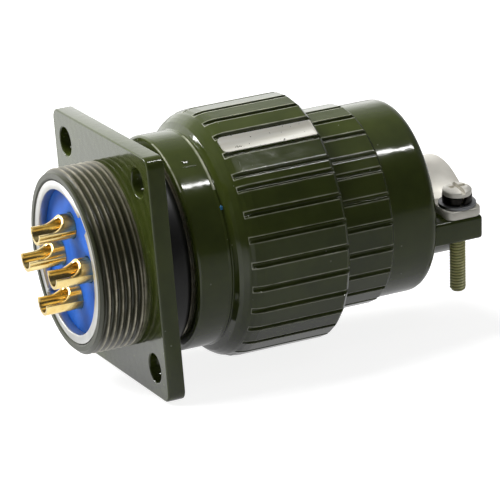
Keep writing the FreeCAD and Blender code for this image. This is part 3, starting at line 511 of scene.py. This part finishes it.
GRIP_RADIUS = 18.05
GRIP_END = 28.8
NUT_INSIDE = 15.6
nut_profile = rounded(
    [
        (7.0, 13.98, 0.3),
        (7.0, 15.65, 0.55),
        (11.6, 15.65, 0.2),
        (11.95, 15.76, 0.12),
        (12.25, 15.56, 0.12),
        (12.7, 16.6, 0.3),
        (13.2, 17.07, 0.5),
        (13.9, 17.52, 0.8),
        (14.9, 17.89, 1.0),
        (16.0, 18.04, 1.0),
        (GRIP_END, GRIP_RADIUS, 0.3),
        (29.4, 17.5, 0.25),
        (29.4, 15.2, 0.2),
        (19.8, 15.2, 0),
        (19.8, 12.1, 0),
        (18.1, 12.1, 0),
        (18.1, 13.98, 0),
    ],
    5,
)
nut_profile = spaced(nut_profile, 0.12, 12.2, 15.2)
GROOVE_WIDTH = 0.9
GROOVE_DEPTH = 0.56
GROOVE_START = 14.15
GROOVE_RUN_IN = 0.2
GROOVE_BLEND = 0.1
SHOULDER = 12.3
CUTTER_LIFT = 2.0
PAD_ANGLE = 121.8
PAD_HALF_ANGLE = 7
PAD_FLAT = 17.88


def nut_bend(along, radius, angle):
    """Mills the grip: the bare land's seat, the flats between the grooves and the grooves."""
    if radius < NUT_INSIDE or along < SHOULDER:
        return radius
    start = min(max((along - GROOVE_START) / GROOVE_RUN_IN, 0), 1)
    if along > GROOVE_START and abs(angle - PAD_ANGLE) < PAD_HALF_ANGLE:
        radius = min(radius, PAD_FLAT / math.cos(math.radians(angle - PAD_ANGLE)))
    radius -= start * (GRIP_RADIUS - land_face(angle, grip_grooves, GRIP_RADIUS, GROOVE_WIDTH))
    floor = groove_floor(angle, grip_grooves, GRIP_RADIUS, GROOVE_WIDTH, GROOVE_DEPTH)
    return soft_least(radius, floor + CUTTER_LIFT * (1 - start), GROOVE_BLEND)


# The lips' place and spread are shares of the groove's width, and the others are millimetres.
LIP_PLACE = 0.54
LIP_SPREAD = 0.1
END_SPREAD = 0.08
RIM_SPREAD = 0.09


def paint_lip_highlights(mesh, places, radius, width, low, high, rims=()):
    """Marks painted highlights: the lips of lengthwise grooves between two places along the axis.

    Their places are angles, and rims, each as (along, first angle, last angle), are marked too.
    """
    shares = []
    for vertex in mesh.vertices:
        along, level, height = vertex.co
        angle = math.degrees(math.atan2(height, level))
        nearest = min(abs((angle - place + 180) % 360 - 180) for place in places)
        off = math.radians(nearest) * radius / width
        share = max(0, 1 - abs(off - LIP_PLACE) / LIP_SPREAD)
        if abs(along - low) < END_SPREAD and off < 0.5:
            share = 1.0
        if math.hypot(level, height) < radius - 1.2 or not low - END_SPREAD < along < high:
            share = 0.0
        for rim, first, last in rims:
            if abs(along - rim) < RIM_SPREAD and first < angle < last:
                share = 1.0
        shares.append(share)
    mesh.attributes.new("lip", "FLOAT", "POINT").data.foreach_set("value", shares)


nut_angles = groove_angles(grip_grooves, GRIP_RADIUS, GROOVE_WIDTH)
nut = revolve("coupling_nut_shape", nut_profile, nut_angles, nut_bend)
# Painted highlights: pale lines along the groove lips, and along the skirt's front and rear rims on their
# upper side only.
skirt_rim_highlights = [(7.12, 98, 138), (11.92, 98, 141)]
paint_lip_highlights(nut, grip_grooves, GRIP_RADIUS, GROOVE_WIDTH, GROOVE_START + 0.12, GRIP_END, skirt_rim_highlights)
show("coupling_nut_enamelled", nut, "coupling_nut", "olive_paint", enamel, "coupling_nut")

# Bare milled aluminium: pale and warm, softly bright, streaked along the cut and with a few pits.
STREAK_LONG = 8.33
STREAK_WIDE = 0.714
PITS = 0.526
milled, tree = blank_material("milled_aluminium")
place = add(tree, "TexCoord").outputs["Object"]
streak = (1000 / STREAK_LONG, 1000 / STREAK_WIDE, 1000 / STREAK_WIDE)
drawn = add(tree, "Mapping", {"Vector": place, "Scale": streak})
streaks = add(tree, "TexNoise", {"Vector": drawn.outputs["Vector"], "Scale": 1.0, "Detail": 3.0})
whites = [(0.3, colour("EFECE0")), (0.7, colour("FBFAF3"))]
warm = add(tree, "ValToRGB", {"Fac": streaks.outputs["Fac"]}, whites).outputs["Color"]
pits = add(tree, "TexNoise", {"Vector": place, "Scale": 1000 / PITS, "Detail": 2.0})
pit_shades = [(0.27, grey(0.05)), (0.31, grey(1.0))]
pitted = add(tree, "ValToRGB", {"Fac": pits.outputs["Fac"]}, pit_shades).outputs["Color"]
marked = add(tree, "MixRGB", {"Fac": 1.0, "Color1": warm, "Color2": pitted}, blend_type="MULTIPLY")
cut_metal = add(
    tree,
    "BsdfPrincipled",
    {"Base Color": marked.outputs["Color"], "Metallic": 1.0, "Roughness": 0.6},
)
add(tree, "OutputMaterial", {"Surface": cut_metal.outputs["BSDF"]})
PAD_HALF = 1.5
PAD_ENDS = (14.45, 28.95)
PAD_ROUNDS = (0.8, 0.25)
pad_outline = []
for turn, (end, side) in enumerate(((1, 1), (0, 1), (0, -1), (1, -1))):
    rounding = PAD_ROUNDS[end]
    centre = (PAD_ENDS[end] + (-rounding if end else rounding), side * (PAD_HALF - rounding))
    pad_outline += arc(centre, rounding, 90 * turn, 90 * turn + 90, 6)
pad_mesh = bpy.data.meshes.new("pad")
pad_shape = bmesh.new()
rims = []
middle = sum(PAD_ENDS) / 2
out_y, out_z = math.cos(math.radians(PAD_ANGLE)), math.sin(math.radians(PAD_ANGLE))
for level, share in ((PAD_FLAT - 0.1, 1.0), (PAD_FLAT + 0.03, 1.0), (PAD_FLAT + 0.06, 0.985)):
    points = []
    for along, aside in pad_outline:
        along, aside = middle + (along - middle) * share, aside * share
        corner = (along, level * out_y - aside * out_z, level * out_z + aside * out_y)
        points.append(pad_shape.verts.new(corner))
    rims.append(points)
for low_rim, high_rim in zip(rims, rims[1:]):
    for i in range(len(low_rim)):
        pad_shape.faces.new((low_rim[i - 1], low_rim[i], high_rim[i], high_rim[i - 1]))
pad_shape.faces.new(rims[-1])
pad_shape.faces.new(list(reversed(rims[0])))
bmesh.ops.recalc_face_normals(pad_shape, faces=pad_shape.faces)
pad_shape.to_mesh(pad_mesh)
pad_shape.free()
show("coupling_nut_bare_land", pad_mesh, "coupling_nut", "satin_aluminium", milled, "coupling_nut")

# A drop of blue paint, dried in the corner where the nut's skirt meets its grip: thin at places, so
# that its blue is uneven.
DROP_CLOUDS = 0.667
drop_paint, tree = blank_material("blue_paint")
place = add(tree, "TexCoord").outputs["Object"]
thin = add(tree, "TexNoise", {"Vector": place, "Scale": 1000 / DROP_CLOUDS, "Detail": 2.0})
drop_blues = [(0.3, colour("1D5A86")), (0.7, colour("3F8DBE"))]
drop_blue = add(tree, "ValToRGB", {"Fac": thin.outputs["Fac"]}, drop_blues).outputs["Color"]
drop_coat = add(tree, "BsdfPrincipled", {"Base Color": drop_blue, "Roughness": 0.3, "IOR": 1.5})
add(tree, "OutputMaterial", {"Surface": drop_coat.outputs["BSDF"]})

# Grit: a few dark, dull grains stuck to the bare land.
GRAIN = 0.25
grit_dirt, tree = blank_material("dark_grit")
place = add(tree, "TexCoord").outputs["Object"]
mixed = add(tree, "TexNoise", {"Vector": place, "Scale": 1000 / GRAIN, "Detail": 2.0})
soots = [(0.3, colour("1B1B16")), (0.7, colour("3A392F"))]
soot = add(tree, "ValToRGB", {"Fac": mixed.outputs["Fac"]}, soots).outputs["Color"]
grime = add(tree, "BsdfPrincipled", {"Base Color": soot, "Roughness": 0.8})
add(tree, "OutputMaterial", {"Surface": grime.outputs["BSDF"]})


def beads(name, spots):
    """Flat drops on the nut, each as (along, angle, radius, half length, half width, height, lean)."""
    mesh = bpy.data.meshes.new(name)
    shape = bmesh.new()
    for along, angle, radius, length, width, height, lean in spots:
        ball = bmesh.ops.create_icosphere(shape, subdivisions=3, radius=1.0)["verts"]
        for vertex in ball:
            x, y, z = vertex.co
            spread = 1 + 0.25 * math.sin(5 * math.atan2(y, x))
            vertex.co = Vector((x * length * spread, y * width * spread, z * height))
        seat = Matrix.Rotation(math.radians(angle - 90), 4, "X") @ Matrix.Translation((along, 0, radius))
        leaned = Matrix.Rotation(math.radians(lean), 4, "X")
        bmesh.ops.transform(shape, matrix=seat @ leaned, verts=ball)
    shape.to_mesh(mesh)
    shape.free()
    return mesh


drop = beads("drop", [(12.02, 151, 15.8, 0.22, 0.34, 0.1, 0)])
show("coupling_nut_drop", drop, "coupling_nut", "olive_paint", drop_paint, "coupling_nut")
blisters = [(9.5, 121, 15.72, 0.5, 0.42, 0.04, 14.5), (9.9, 124.3, 15.64, 1.0, 0.2, 0.06, 10)]
blister = beads("blister", blisters)
show("coupling_nut_blister", blister, "coupling_nut", "olive_paint", enamel, "coupling_nut")
grains = [(16.5, 124.6), (16.8, 124.9), (17.05, 124.5), (16.75, 124.2), (17.3, 124.8)]
grit = beads("grit", [(along, angle, 17.96, 0.1, 0.07, 0.04, 0) for along, angle in grains])
show("coupling_nut_grit", grit, "coupling_nut", "satin_aluminium", grit_dirt, "coupling_nut")

# Backshell: a cast aluminium cup that screws onto the plug's shell inside the nut and carries the
# clamp's lower jaw on its closed end. Fluted in front for the fingers, smooth and well rounded behind,
# and enamelled all over.
CLAMP_TURN = 7.8
FLUTE_FIRST = 147.0
FLUTE_COUNT = 24
FLUTE_SHORT = 10.0
FLUTE_WIDTH = 0.9
FLUTE_DEPTH = 0.48
FLUTED_RADIUS = 14.7
CUP_RADIUS = 14.2
FLUTED_START = 22.3
FLUTED_END = 37.5
CUP_START = 38.0
flute_pitch = (360 - FLUTE_SHORT) / (FLUTE_COUNT - 1)
flutes = [(FLUTE_FIRST + i * flute_pitch) % 360 for i in range(FLUTE_COUNT)]
shell_corners = [
    (FLUTED_START, 12.0, 0),
    (FLUTED_START, FLUTED_RADIUS, 0.3),
    (FLUTED_END, FLUTED_RADIUS, 0.15),
    (37.95, CUP_RADIUS, 0.15),
    (45.4, CUP_RADIUS, 1.8),
    (45.4, 7.9, 0.3),
    (43.2, 7.9, 0.2),
    (43.2, 11.3, 0.4),
    (30.3, 11.3, 0),
    (30.3, 12.0, 0),
]
backshell_profile = rounded(shell_corners, 6)


def backshell_bend(along, radius, angle):
    """Cuts the flutes and the flats between them in front of the cup."""
    if radius < CUP_RADIUS + 0.02 or along > CUP_START:
        return radius
    raised = (radius - CUP_RADIUS) / (FLUTED_RADIUS - CUP_RADIUS)
    radius -= raised * (FLUTED_RADIUS - land_face(angle, flutes, FLUTED_RADIUS, FLUTE_WIDTH))
    floor = groove_floor(angle, flutes, FLUTED_RADIUS, FLUTE_WIDTH, FLUTE_DEPTH)
    return soft_least(radius, floor, GROOVE_BLEND)


flute_angles = groove_angles(flutes, FLUTED_RADIUS, FLUTE_WIDTH)
backshell = revolve("backshell_shape", backshell_profile, flute_angles, backshell_bend)
# Painted highlights: pale lines along the flute lips.
paint_lip_highlights(backshell, flutes, FLUTED_RADIUS, FLUTE_WIDTH, FLUTED_START + 0.2, FLUTED_END + 0.1)
show("backshell_enamelled", backshell, "plug", "olive_paint", enamel, "backshell")

# Clamp jaw: a half tube with two lugs that takes the cable's underside. It is cast in one with the
# backshell and enamelled with it, and its lugs are tapped for the clamp screws.


def prism(name, outline, low, high, corner, edge):
    """A bar along the connector's axis from one closed outline of (across, up).

    Its outermost upright corners at the high end are rounded by corner, and all its edges by edge.
    """
    mesh = bpy.data.meshes.new(name)
    shape = bmesh.new()
    ends = [[shape.verts.new((along, across, up)) for across, up in outline] for along in (low, high)]
    shape.faces.new(ends[0])
    shape.faces.new(list(reversed(ends[1])))
    for i in range(len(outline)):
        shape.faces.new((ends[0][i - 1], ends[1][i - 1], ends[1][i], ends[0][i]))
    bmesh.ops.recalc_face_normals(shape, faces=shape.faces)
    far = max(abs(across) for across, up in outline)
    outermost = {v for v in shape.verts if v.co.x == high and abs(abs(v.co.y) - far) < 1e-6}
    uprights = [e for e in shape.edges if outermost.issuperset(e.verts)]
    bmesh.ops.bevel(
        shape, geom=uprights, offset=corner, offset_type="OFFSET", segments=6, profile=0.5, affect="EDGES"
    )
    sharp = [e for e in shape.edges if e.calc_face_angle(0) > math.radians(30)]
    bmesh.ops.bevel(
        shape,
        geom=sharp,
        offset=edge,
        offset_type="OFFSET",
        segments=3,
        profile=0.5,
        affect="EDGES",
        clamp_overlap=True,
    )
    shape.to_mesh(mesh)
    shape.free()
    return mesh


LUG_HALF = 13.0
LUG_LOW = 3.6
LUG_ROUND = 1.25
JAW_OUTER = 9.75
JAW_INNER = 7.9
JAW_START = 44.4
JAW_END = 52.8
JAW_EDGE = 0.5
jaw_outline = [(LUG_HALF, 0), (JAW_INNER, 0)]
jaw_outline += arc((0, 0), JAW_INNER, 0, -180, 40)[1:]
jaw_outline += [(-LUG_HALF, 0), (-LUG_HALF, -LUG_LOW)]
lug_foot = math.degrees(math.asin(LUG_LOW / JAW_OUTER))
jaw_outline += arc((0, 0), JAW_OUTER, -180 + lug_foot, -lug_foot, 36)
jaw_outline += [(LUG_HALF, -LUG_LOW)]
jaw = prism("clamp_jaw", jaw_outline, JAW_START, JAW_END, LUG_ROUND, JAW_EDGE)
tilt = Matrix.Rotation(math.radians(CLAMP_TURN), 4, "X")
jaw.transform(tilt)
show("clamp_jaw_enamelled", jaw, "plug", "olive_paint", enamel, "backshell")

# Clamp saddle: a strap of nickel-plated spring steel, bent to a low arch over the cable with two flat
# ears, held down by the clamp screws.

# Nickel plate on pressed steel: a pale warm silver with soft, faintly cloudy reflections.
NICKEL_CLOUDS = 3.33
nickel, tree = blank_material("nickel_plate")
place = add(tree, "TexCoord").outputs["Object"]
brushed = add(tree, "TexNoise", {"Vector": place, "Scale": 1000 / NICKEL_CLOUDS, "Detail": 3.0})
nickels = [(0.3, colour("E4E0D5")), (0.7, colour("F4F1E8"))]
silver = add(tree, "ValToRGB", {"Fac": brushed.outputs["Fac"]}, nickels).outputs["Color"]
satins = [(0.3, grey(0.42)), (0.7, grey(0.55))]
satin = add(tree, "ValToRGB", {"Fac": brushed.outputs["Fac"]}, satins).outputs["Color"]
plate_metal = add(tree, "BsdfPrincipled", {"Base Color": silver, "Metallic": 0.55, "Roughness": satin})
add(tree, "OutputMaterial", {"Surface": plate_metal.outputs["BSDF"]})
strap = softened("clamp_saddle", 0.15)
show("clamp_saddle_strap", strap, "clamp_saddle", "bright_steel", nickel, "clamp_saddle")

# Pressed washers: duller grey steel than the strap, with the same cloudy look.
WASHER_CLOUDS = 1.67
pressed, tree = blank_material("pressed_steel")
place = add(tree, "TexCoord").outputs["Object"]
cloudy = add(tree, "TexNoise", {"Vector": place, "Scale": 1000 / WASHER_CLOUDS, "Detail": 3.0})
steels = [(0.3, colour("77787A")), (0.7, colour("96979A"))]
steely = add(tree, "ValToRGB", {"Fac": cloudy.outputs["Fac"]}, steels).outputs["Color"]
washer_metal = add(tree, "BsdfPrincipled", {"Base Color": steely, "Metallic": 1.0, "Roughness": 0.35})
add(tree, "OutputMaterial", {"Surface": washer_metal.outputs["BSDF"]})
for hand in ("left", "right"):
    node = "flat_washer_" + hand
    show(node + "_pressed", softened(node, 0.08), "clamp_saddle", "bright_steel", pressed, node)

# Spring washers under the screw heads: hardened steel wire, split and blackened, so nearly black with
# a dull metal gloss. The snap ring inside the nut is made the same.
BLACK_SCALE = 1.11
blackened, tree = blank_material("blackened_steel")
place = add(tree, "TexCoord").outputs["Object"]
scale = add(tree, "TexNoise", {"Vector": place, "Scale": 1000 / BLACK_SCALE, "Detail": 4.0})
darks = [(0.3, colour("1A1917")), (0.7, colour("35322E"))]
dark = add(tree, "ValToRGB", {"Fac": scale.outputs["Fac"]}, darks).outputs["Color"]
steel = add(tree, "BsdfPrincipled", {"Base Color": dark, "Metallic": 0.9, "Roughness": 0.32})
add(tree, "OutputMaterial", {"Surface": steel.outputs["BSDF"]})
for hand in ("left", "right"):
    node = "spring_washer_" + hand
    show(node + "_black", softened(node, 0.12), "clamp_saddle", "spring_steel", blackened, node)
snap_ring = softened("nut_snap_ring", 0.1)
show("nut_snap_ring_black", snap_ring, "plug", "spring_steel", blackened, "nut_snap_ring")

# Clamp screws: cheese heads with a cross slot on long zinc-plated shanks, screwed through the saddle's
# ears into the jaw's lugs. Their sizes run from the head's underside, up the screw's own axis.
SCREW_PITCH = 0.45
SCREW_DEPTH = 0.28
SCREW_RADIUS = 1.2
SCREW_END = -15.2
SCREW_TIP = 0.85
SCREW_TOP = 0.1
SCREW_ALONG = 50.0
SCREW_ACROSS = 10.3
SEAT = 3.0
HEAD_RADIUS = 2.12
CROSS_PLACE = 1.15
CROSS_SLOTS = ((1.3, 6.0, 0.65), (1.0, 0.75, 2.5))

# Zinc plate with a yellow passivate: dull, faintly greenish metal, with painted shade in the thread's
# roots.
SPANGLE = 1.25
zinc, tree = blank_material("zinc_plate")
place = add(tree, "TexCoord").outputs["Object"]
spangle = add(tree, "TexNoise", {"Vector": place, "Scale": 1000 / SPANGLE, "Detail": 4.0})
zincs = [(0.3, colour("EAE9A6")), (0.7, colour("FBFAC8"))]
dull = add(tree, "ValToRGB", {"Fac": spangle.outputs["Fac"]}, zincs).outputs["Color"]
# Painted shade: the root share darkens the zinc in the thread's roots.
root = add(tree, "Attribute", attribute_name="root")
root_shaded = add(tree, "MixRGB", {"Fac": root.outputs["Fac"], "Color1": dull, "Color2": colour("8A894E")})
galvanised = add(
    tree,
    "BsdfPrincipled",
    {"Base Color": root_shaded.outputs["Color"], "Metallic": 0.1, "Roughness": 0.3},
)
add(tree, "OutputMaterial", {"Surface": galvanised.outputs["BSDF"]})


def upright(mesh, across):
    """Stands a mesh that was turned about X on a clamp screw's axis, its +X end up."""
    mesh.transform(Matrix.Rotation(math.radians(-90), 4, "Y"))
    mesh.transform(tilt @ Matrix.Translation((SCREW_ALONG, across, SEAT)))


def screw_bend(along, radius, angle):
    """Cuts the screw's thread up to just under its head."""
    if radius < 1.0 or along > -0.4:
        return radius
    return radius - SCREW_DEPTH * (1 - crest(along, angle, SCREW_PITCH))


shank_ends = [(SCREW_END, 0.0), (SCREW_TOP, 0.0)]
shank_corners = [(SCREW_END, SCREW_TIP), (-14.9, SCREW_RADIUS), (SCREW_TOP, SCREW_RADIUS)]
shank_profile = spaced([shank_ends[0], *shank_corners, shank_ends[1]], 0.075, SCREW_END, 0.2)
shank_profile = [point for point in shank_profile if point[1] > SCREW_TIP or point in shank_ends]
head_corners = [(0.0, 0.0, 0), (0.0, HEAD_RADIUS, 0.1), (0.75, HEAD_RADIUS, 0.25)]
head_corners += [(1.12, 1.55, 0.5), (1.15, 0.0, 0)]
head_profile = rounded(head_corners, 5)
for hand, across in (("left", SCREW_ACROSS), ("right", -SCREW_ACROSS)):
    body = "clamp_screw_" + hand
    shank = revolve(body + "_shank", shank_profile, [i * 15 for i in range(24)], screw_bend)
    # Painted shade: the deeper a point lies in the thread's root, the darker its zinc is mixed.
    depths = [(SCREW_RADIUS - math.hypot(v.co.y, v.co.z)) / SCREW_DEPTH for v in shank.vertices]
    root_shade = [depth ** 2 if 0 < depth < 1.1 else 0.0 for depth in depths]
    shank.attributes.new("root", "FLOAT", "POINT").data.foreach_set("value", root_shade)
    upright(shank, across)
    show(body + "_shank", shank, body, "zinc_steel", zinc, body)
    head = revolve(body + "_head", head_profile, [i * 6 for i in range(60)])
    blank = bpy.data.objects.new("blank", head)
    bpy.context.scene.collection.objects.link(blank)
    blade_mesh = bpy.data.meshes.new("blade")
    blade = bmesh.new()
    for sides in CROSS_SLOTS:
        bar = bmesh.ops.create_cube(blade, size=1.0)["verts"]
        bmesh.ops.scale(blade, vec=sides, verts=bar)
        bmesh.ops.translate(blade, vec=(CROSS_PLACE, 0, 0), verts=bar)
    blade.to_mesh(blade_mesh)
    blade.free()
    cutter = bpy.data.objects.new("blade", blade_mesh)
    bpy.context.scene.collection.objects.link(cutter)
    cut = blank.modifiers.new("slot", "BOOLEAN")
    cut.object = cutter
    cut.use_self = True
    cut.operation = "DIFFERENCE"
    finished = blank.evaluated_get(bpy.context.evaluated_depsgraph_get())
    slotted = bpy.data.meshes.new_from_object(finished)
    bpy.data.objects.remove(blank)
    bpy.data.objects.remove(cutter)
    upright(slotted, across)
    show(body + "_head", slotted, body, "zinc_steel", nickel, body)

# Studio: white paper under the connector in a dim room with a pale back wall, which the enamel mirrors.
# A broad lamp behind gives the light, and a thin strip lamp above and a small one behind give only
# glints. The camera stands where the photograph was taken from.
MIDDLE = 0.02
FLOOR_LEVEL = -0.0181
floor_mesh = bpy.data.meshes.new("floor")
floor_shape = bmesh.new()
bmesh.ops.create_grid(floor_shape, x_segments=1, y_segments=1, size=3.0)
floor_shape.to_mesh(floor_mesh)
floor_shape.free()
floor = bpy.data.objects.new("floor", floor_mesh)
floor.location = (MIDDLE, 0, FLOOR_LEVEL)
bpy.context.scene.collection.objects.link(floor)

# White paper: plain and matt. It looks white to the eye, and the gloss above mirrors it as a far darker
# sheet, in bands across the connector and paler towards the solder cups.
paper, tree = blank_material("white_paper")
pulp = add(tree, "BsdfPrincipled", {"Base Color": grey(0.45), "Roughness": 0.9})
seen = add(tree, "LightPath")
camera_ray, glossy_ray = seen.outputs["Is Camera Ray"], seen.outputs["Is Glossy Ray"]
clear_ray = seen.outputs["Is Transmission Ray"]
straight = add(tree, "Math", {0: camera_ray, 1: glossy_ray}, operation="MAXIMUM")
any_view = add(tree, "Math", {0: straight.outputs[0], 1: clear_ray}, operation="MAXIMUM")
lift = add(tree, "Emission", {"Color": grey(1.0), "Strength": 0.85})
lifted = add(tree, "AddShader", {0: pulp.outputs["BSDF"], 1: lift.outputs["Emission"]})
views = {"Fac": any_view.outputs[0], 1: pulp.outputs["BSDF"], 2: lifted.outputs["Shader"]}
viewed = add(tree, "MixShader", views)
spot = add(tree, "SeparateXYZ", {"Vector": add(tree, "NewGeometry").outputs["Position"]})
depth = add(tree, "MapRange", {"Value": spot.outputs["Y"], "From Min": -0.3, "From Max": 0.1})
bands = [
    (0.0, grey(0.03)),
    (0.5, grey(0.16)),
    (0.66, grey(0.24)),
    (0.765, grey(0.3)),
    (0.8, grey(0.22)),
    (0.96, grey(0.25)),
    (1.0, grey(0.4)),
]
falloff = add(tree, "ValToRGB", {"Fac": depth.outputs["Result"]}, bands).outputs["Color"]
paling = {"From Min": -0.01, "From Max": 0.01, "To Min": 4.5, "To Max": 2.0}
nearer = add(tree, "MapRange", {"Value": spot.outputs["X"], **paling})
mirrored = add(tree, "Emission", {"Color": falloff, "Strength": nearer.outputs["Result"]})
sheets = {"Fac": glossy_ray, 1: viewed.outputs["Shader"], 2: mirrored.outputs["Emission"]}
sheet = add(tree, "MixShader", sheets)
add(tree, "OutputMaterial", {"Surface": sheet.outputs["Shader"]})
floor_mesh.materials.append(paper)

world = bpy.data.worlds.new("studio")
world.use_nodes = True
tree = world.node_tree
tree.nodes.clear()
way = add(tree, "SeparateXYZ", {"Vector": add(tree, "TexCoord").outputs["Generated"]})
facing = add(tree, "MapRange", {"Value": way.outputs["Y"], "From Min": -1.0, "From Max": 1.0})
walls = [
    (0.2, grey(0.025)),
    (0.3, grey(0.04)),
    (0.375, grey(0.1)),
    (0.5, grey(0.12)),
    (0.72, grey(0.1)),
    (0.8, grey(0.2)),
    (0.88, grey(0.28)),
    (0.95, grey(0.8)),
]
card = add(tree, "ValToRGB", {"Fac": facing.outputs["Result"]}, walls).outputs["Color"]
behind = add(tree, "MixRGB", {"Fac": 1.0, "Color1": card, "Color2": grey(2.0)}, blend_type="MULTIPLY")
seen = add(tree, "LightPath")
room_shades = {"Color1": grey(0.15), "Color2": behind.outputs["Color"]}
room = add(tree, "MixRGB", {"Fac": seen.outputs["Is Glossy Ray"], **room_shades})
clear_shades = {"Color1": room.outputs["Color"], "Color2": grey(1.0)}
clear = add(tree, "MixRGB", {"Fac": seen.outputs["Is Camera Ray"], **clear_shades})
sky = add(tree, "Background", {"Color": clear.outputs["Color"], "Strength": 1.0})
add(tree, "OutputWorld", {"Surface": sky.outputs["Background"]})
bpy.context.scene.world = world


def lamp(name, away, size, power):
    """A soft lamp, its first side along the connector, aimed at its middle from a place in metres."""
    light = bpy.data.lights.new(name, "AREA")
    light.shape = "RECTANGLE"
    light.size, light.size_y = size
    light.energy = power
    holder = bpy.data.objects.new(name, light)
    out = (Vector(away) - Vector((MIDDLE, 0, 0))).normalized()
    side = (Vector((1, 0, 0)) - out * out.x).normalized()
    aimed = Matrix((side, out.cross(side), out)).transposed().to_4x4()
    holder.matrix_world = Matrix.Translation(away) @ aimed
    bpy.context.scene.collection.objects.link(holder)
    return holder


lamp("key_lamp", (0.27, -0.209, 0.57), (0.34, 0.03), 1.3).visible_diffuse = False
lamp("rim_lamp", (-0.42, 0.45, 0.11), (0.12, 0.12), 1.2).visible_diffuse = False
lamp("back_lamp", (-0.25, 0.35, 0.55), (0.6, 0.6), 10.0).visible_glossy = False

# The photograph's side and focal length are in pixels, where the camera looks and stands in metres, and
# its turns, sideways, upwards and about its own line of sight, in degrees.
PHOTO_SIDE = 500
PHOTO_FOCAL = 4072.98
FILM = 36.0
AIM = (0.0215146, 0, -0.0038726)
AWAY = 0.586235
TURNS = (-22.5698, 17.0062, -5.0337)
eye = bpy.data.cameras.new("camera")
eye.sensor_width = FILM
eye.lens = PHOTO_FOCAL * FILM / PHOTO_SIDE
eye.clip_start, eye.clip_end = 0.05, 20.0
azimuth, elevation, roll = (math.radians(turn) for turn in TURNS)
back = Vector(
    (math.sin(azimuth) * math.cos(elevation), -math.cos(azimuth) * math.cos(elevation), math.sin(elevation))
)
level_right = Vector((math.cos(azimuth), math.sin(azimuth), 0))
level_up = back.cross(level_right)
right = level_right * math.cos(roll) + level_up * math.sin(roll)
upward = back.cross(right)
camera = bpy.data.objects.new("camera", eye)
stand = Vector(AIM) + back * AWAY
camera.matrix_world = Matrix(
    (
        (right.x, upward.x, back.x, stand.x),
        (right.y, upward.y, back.y, stand.y),
        (right.z, upward.z, back.z, stand.z),
        (0, 0, 0, 1),
    )
)
bpy.context.scene.collection.objects.link(camera)
bpy.context.scene.camera = camera
bpy.context.scene.view_settings.view_transform = "Standard"
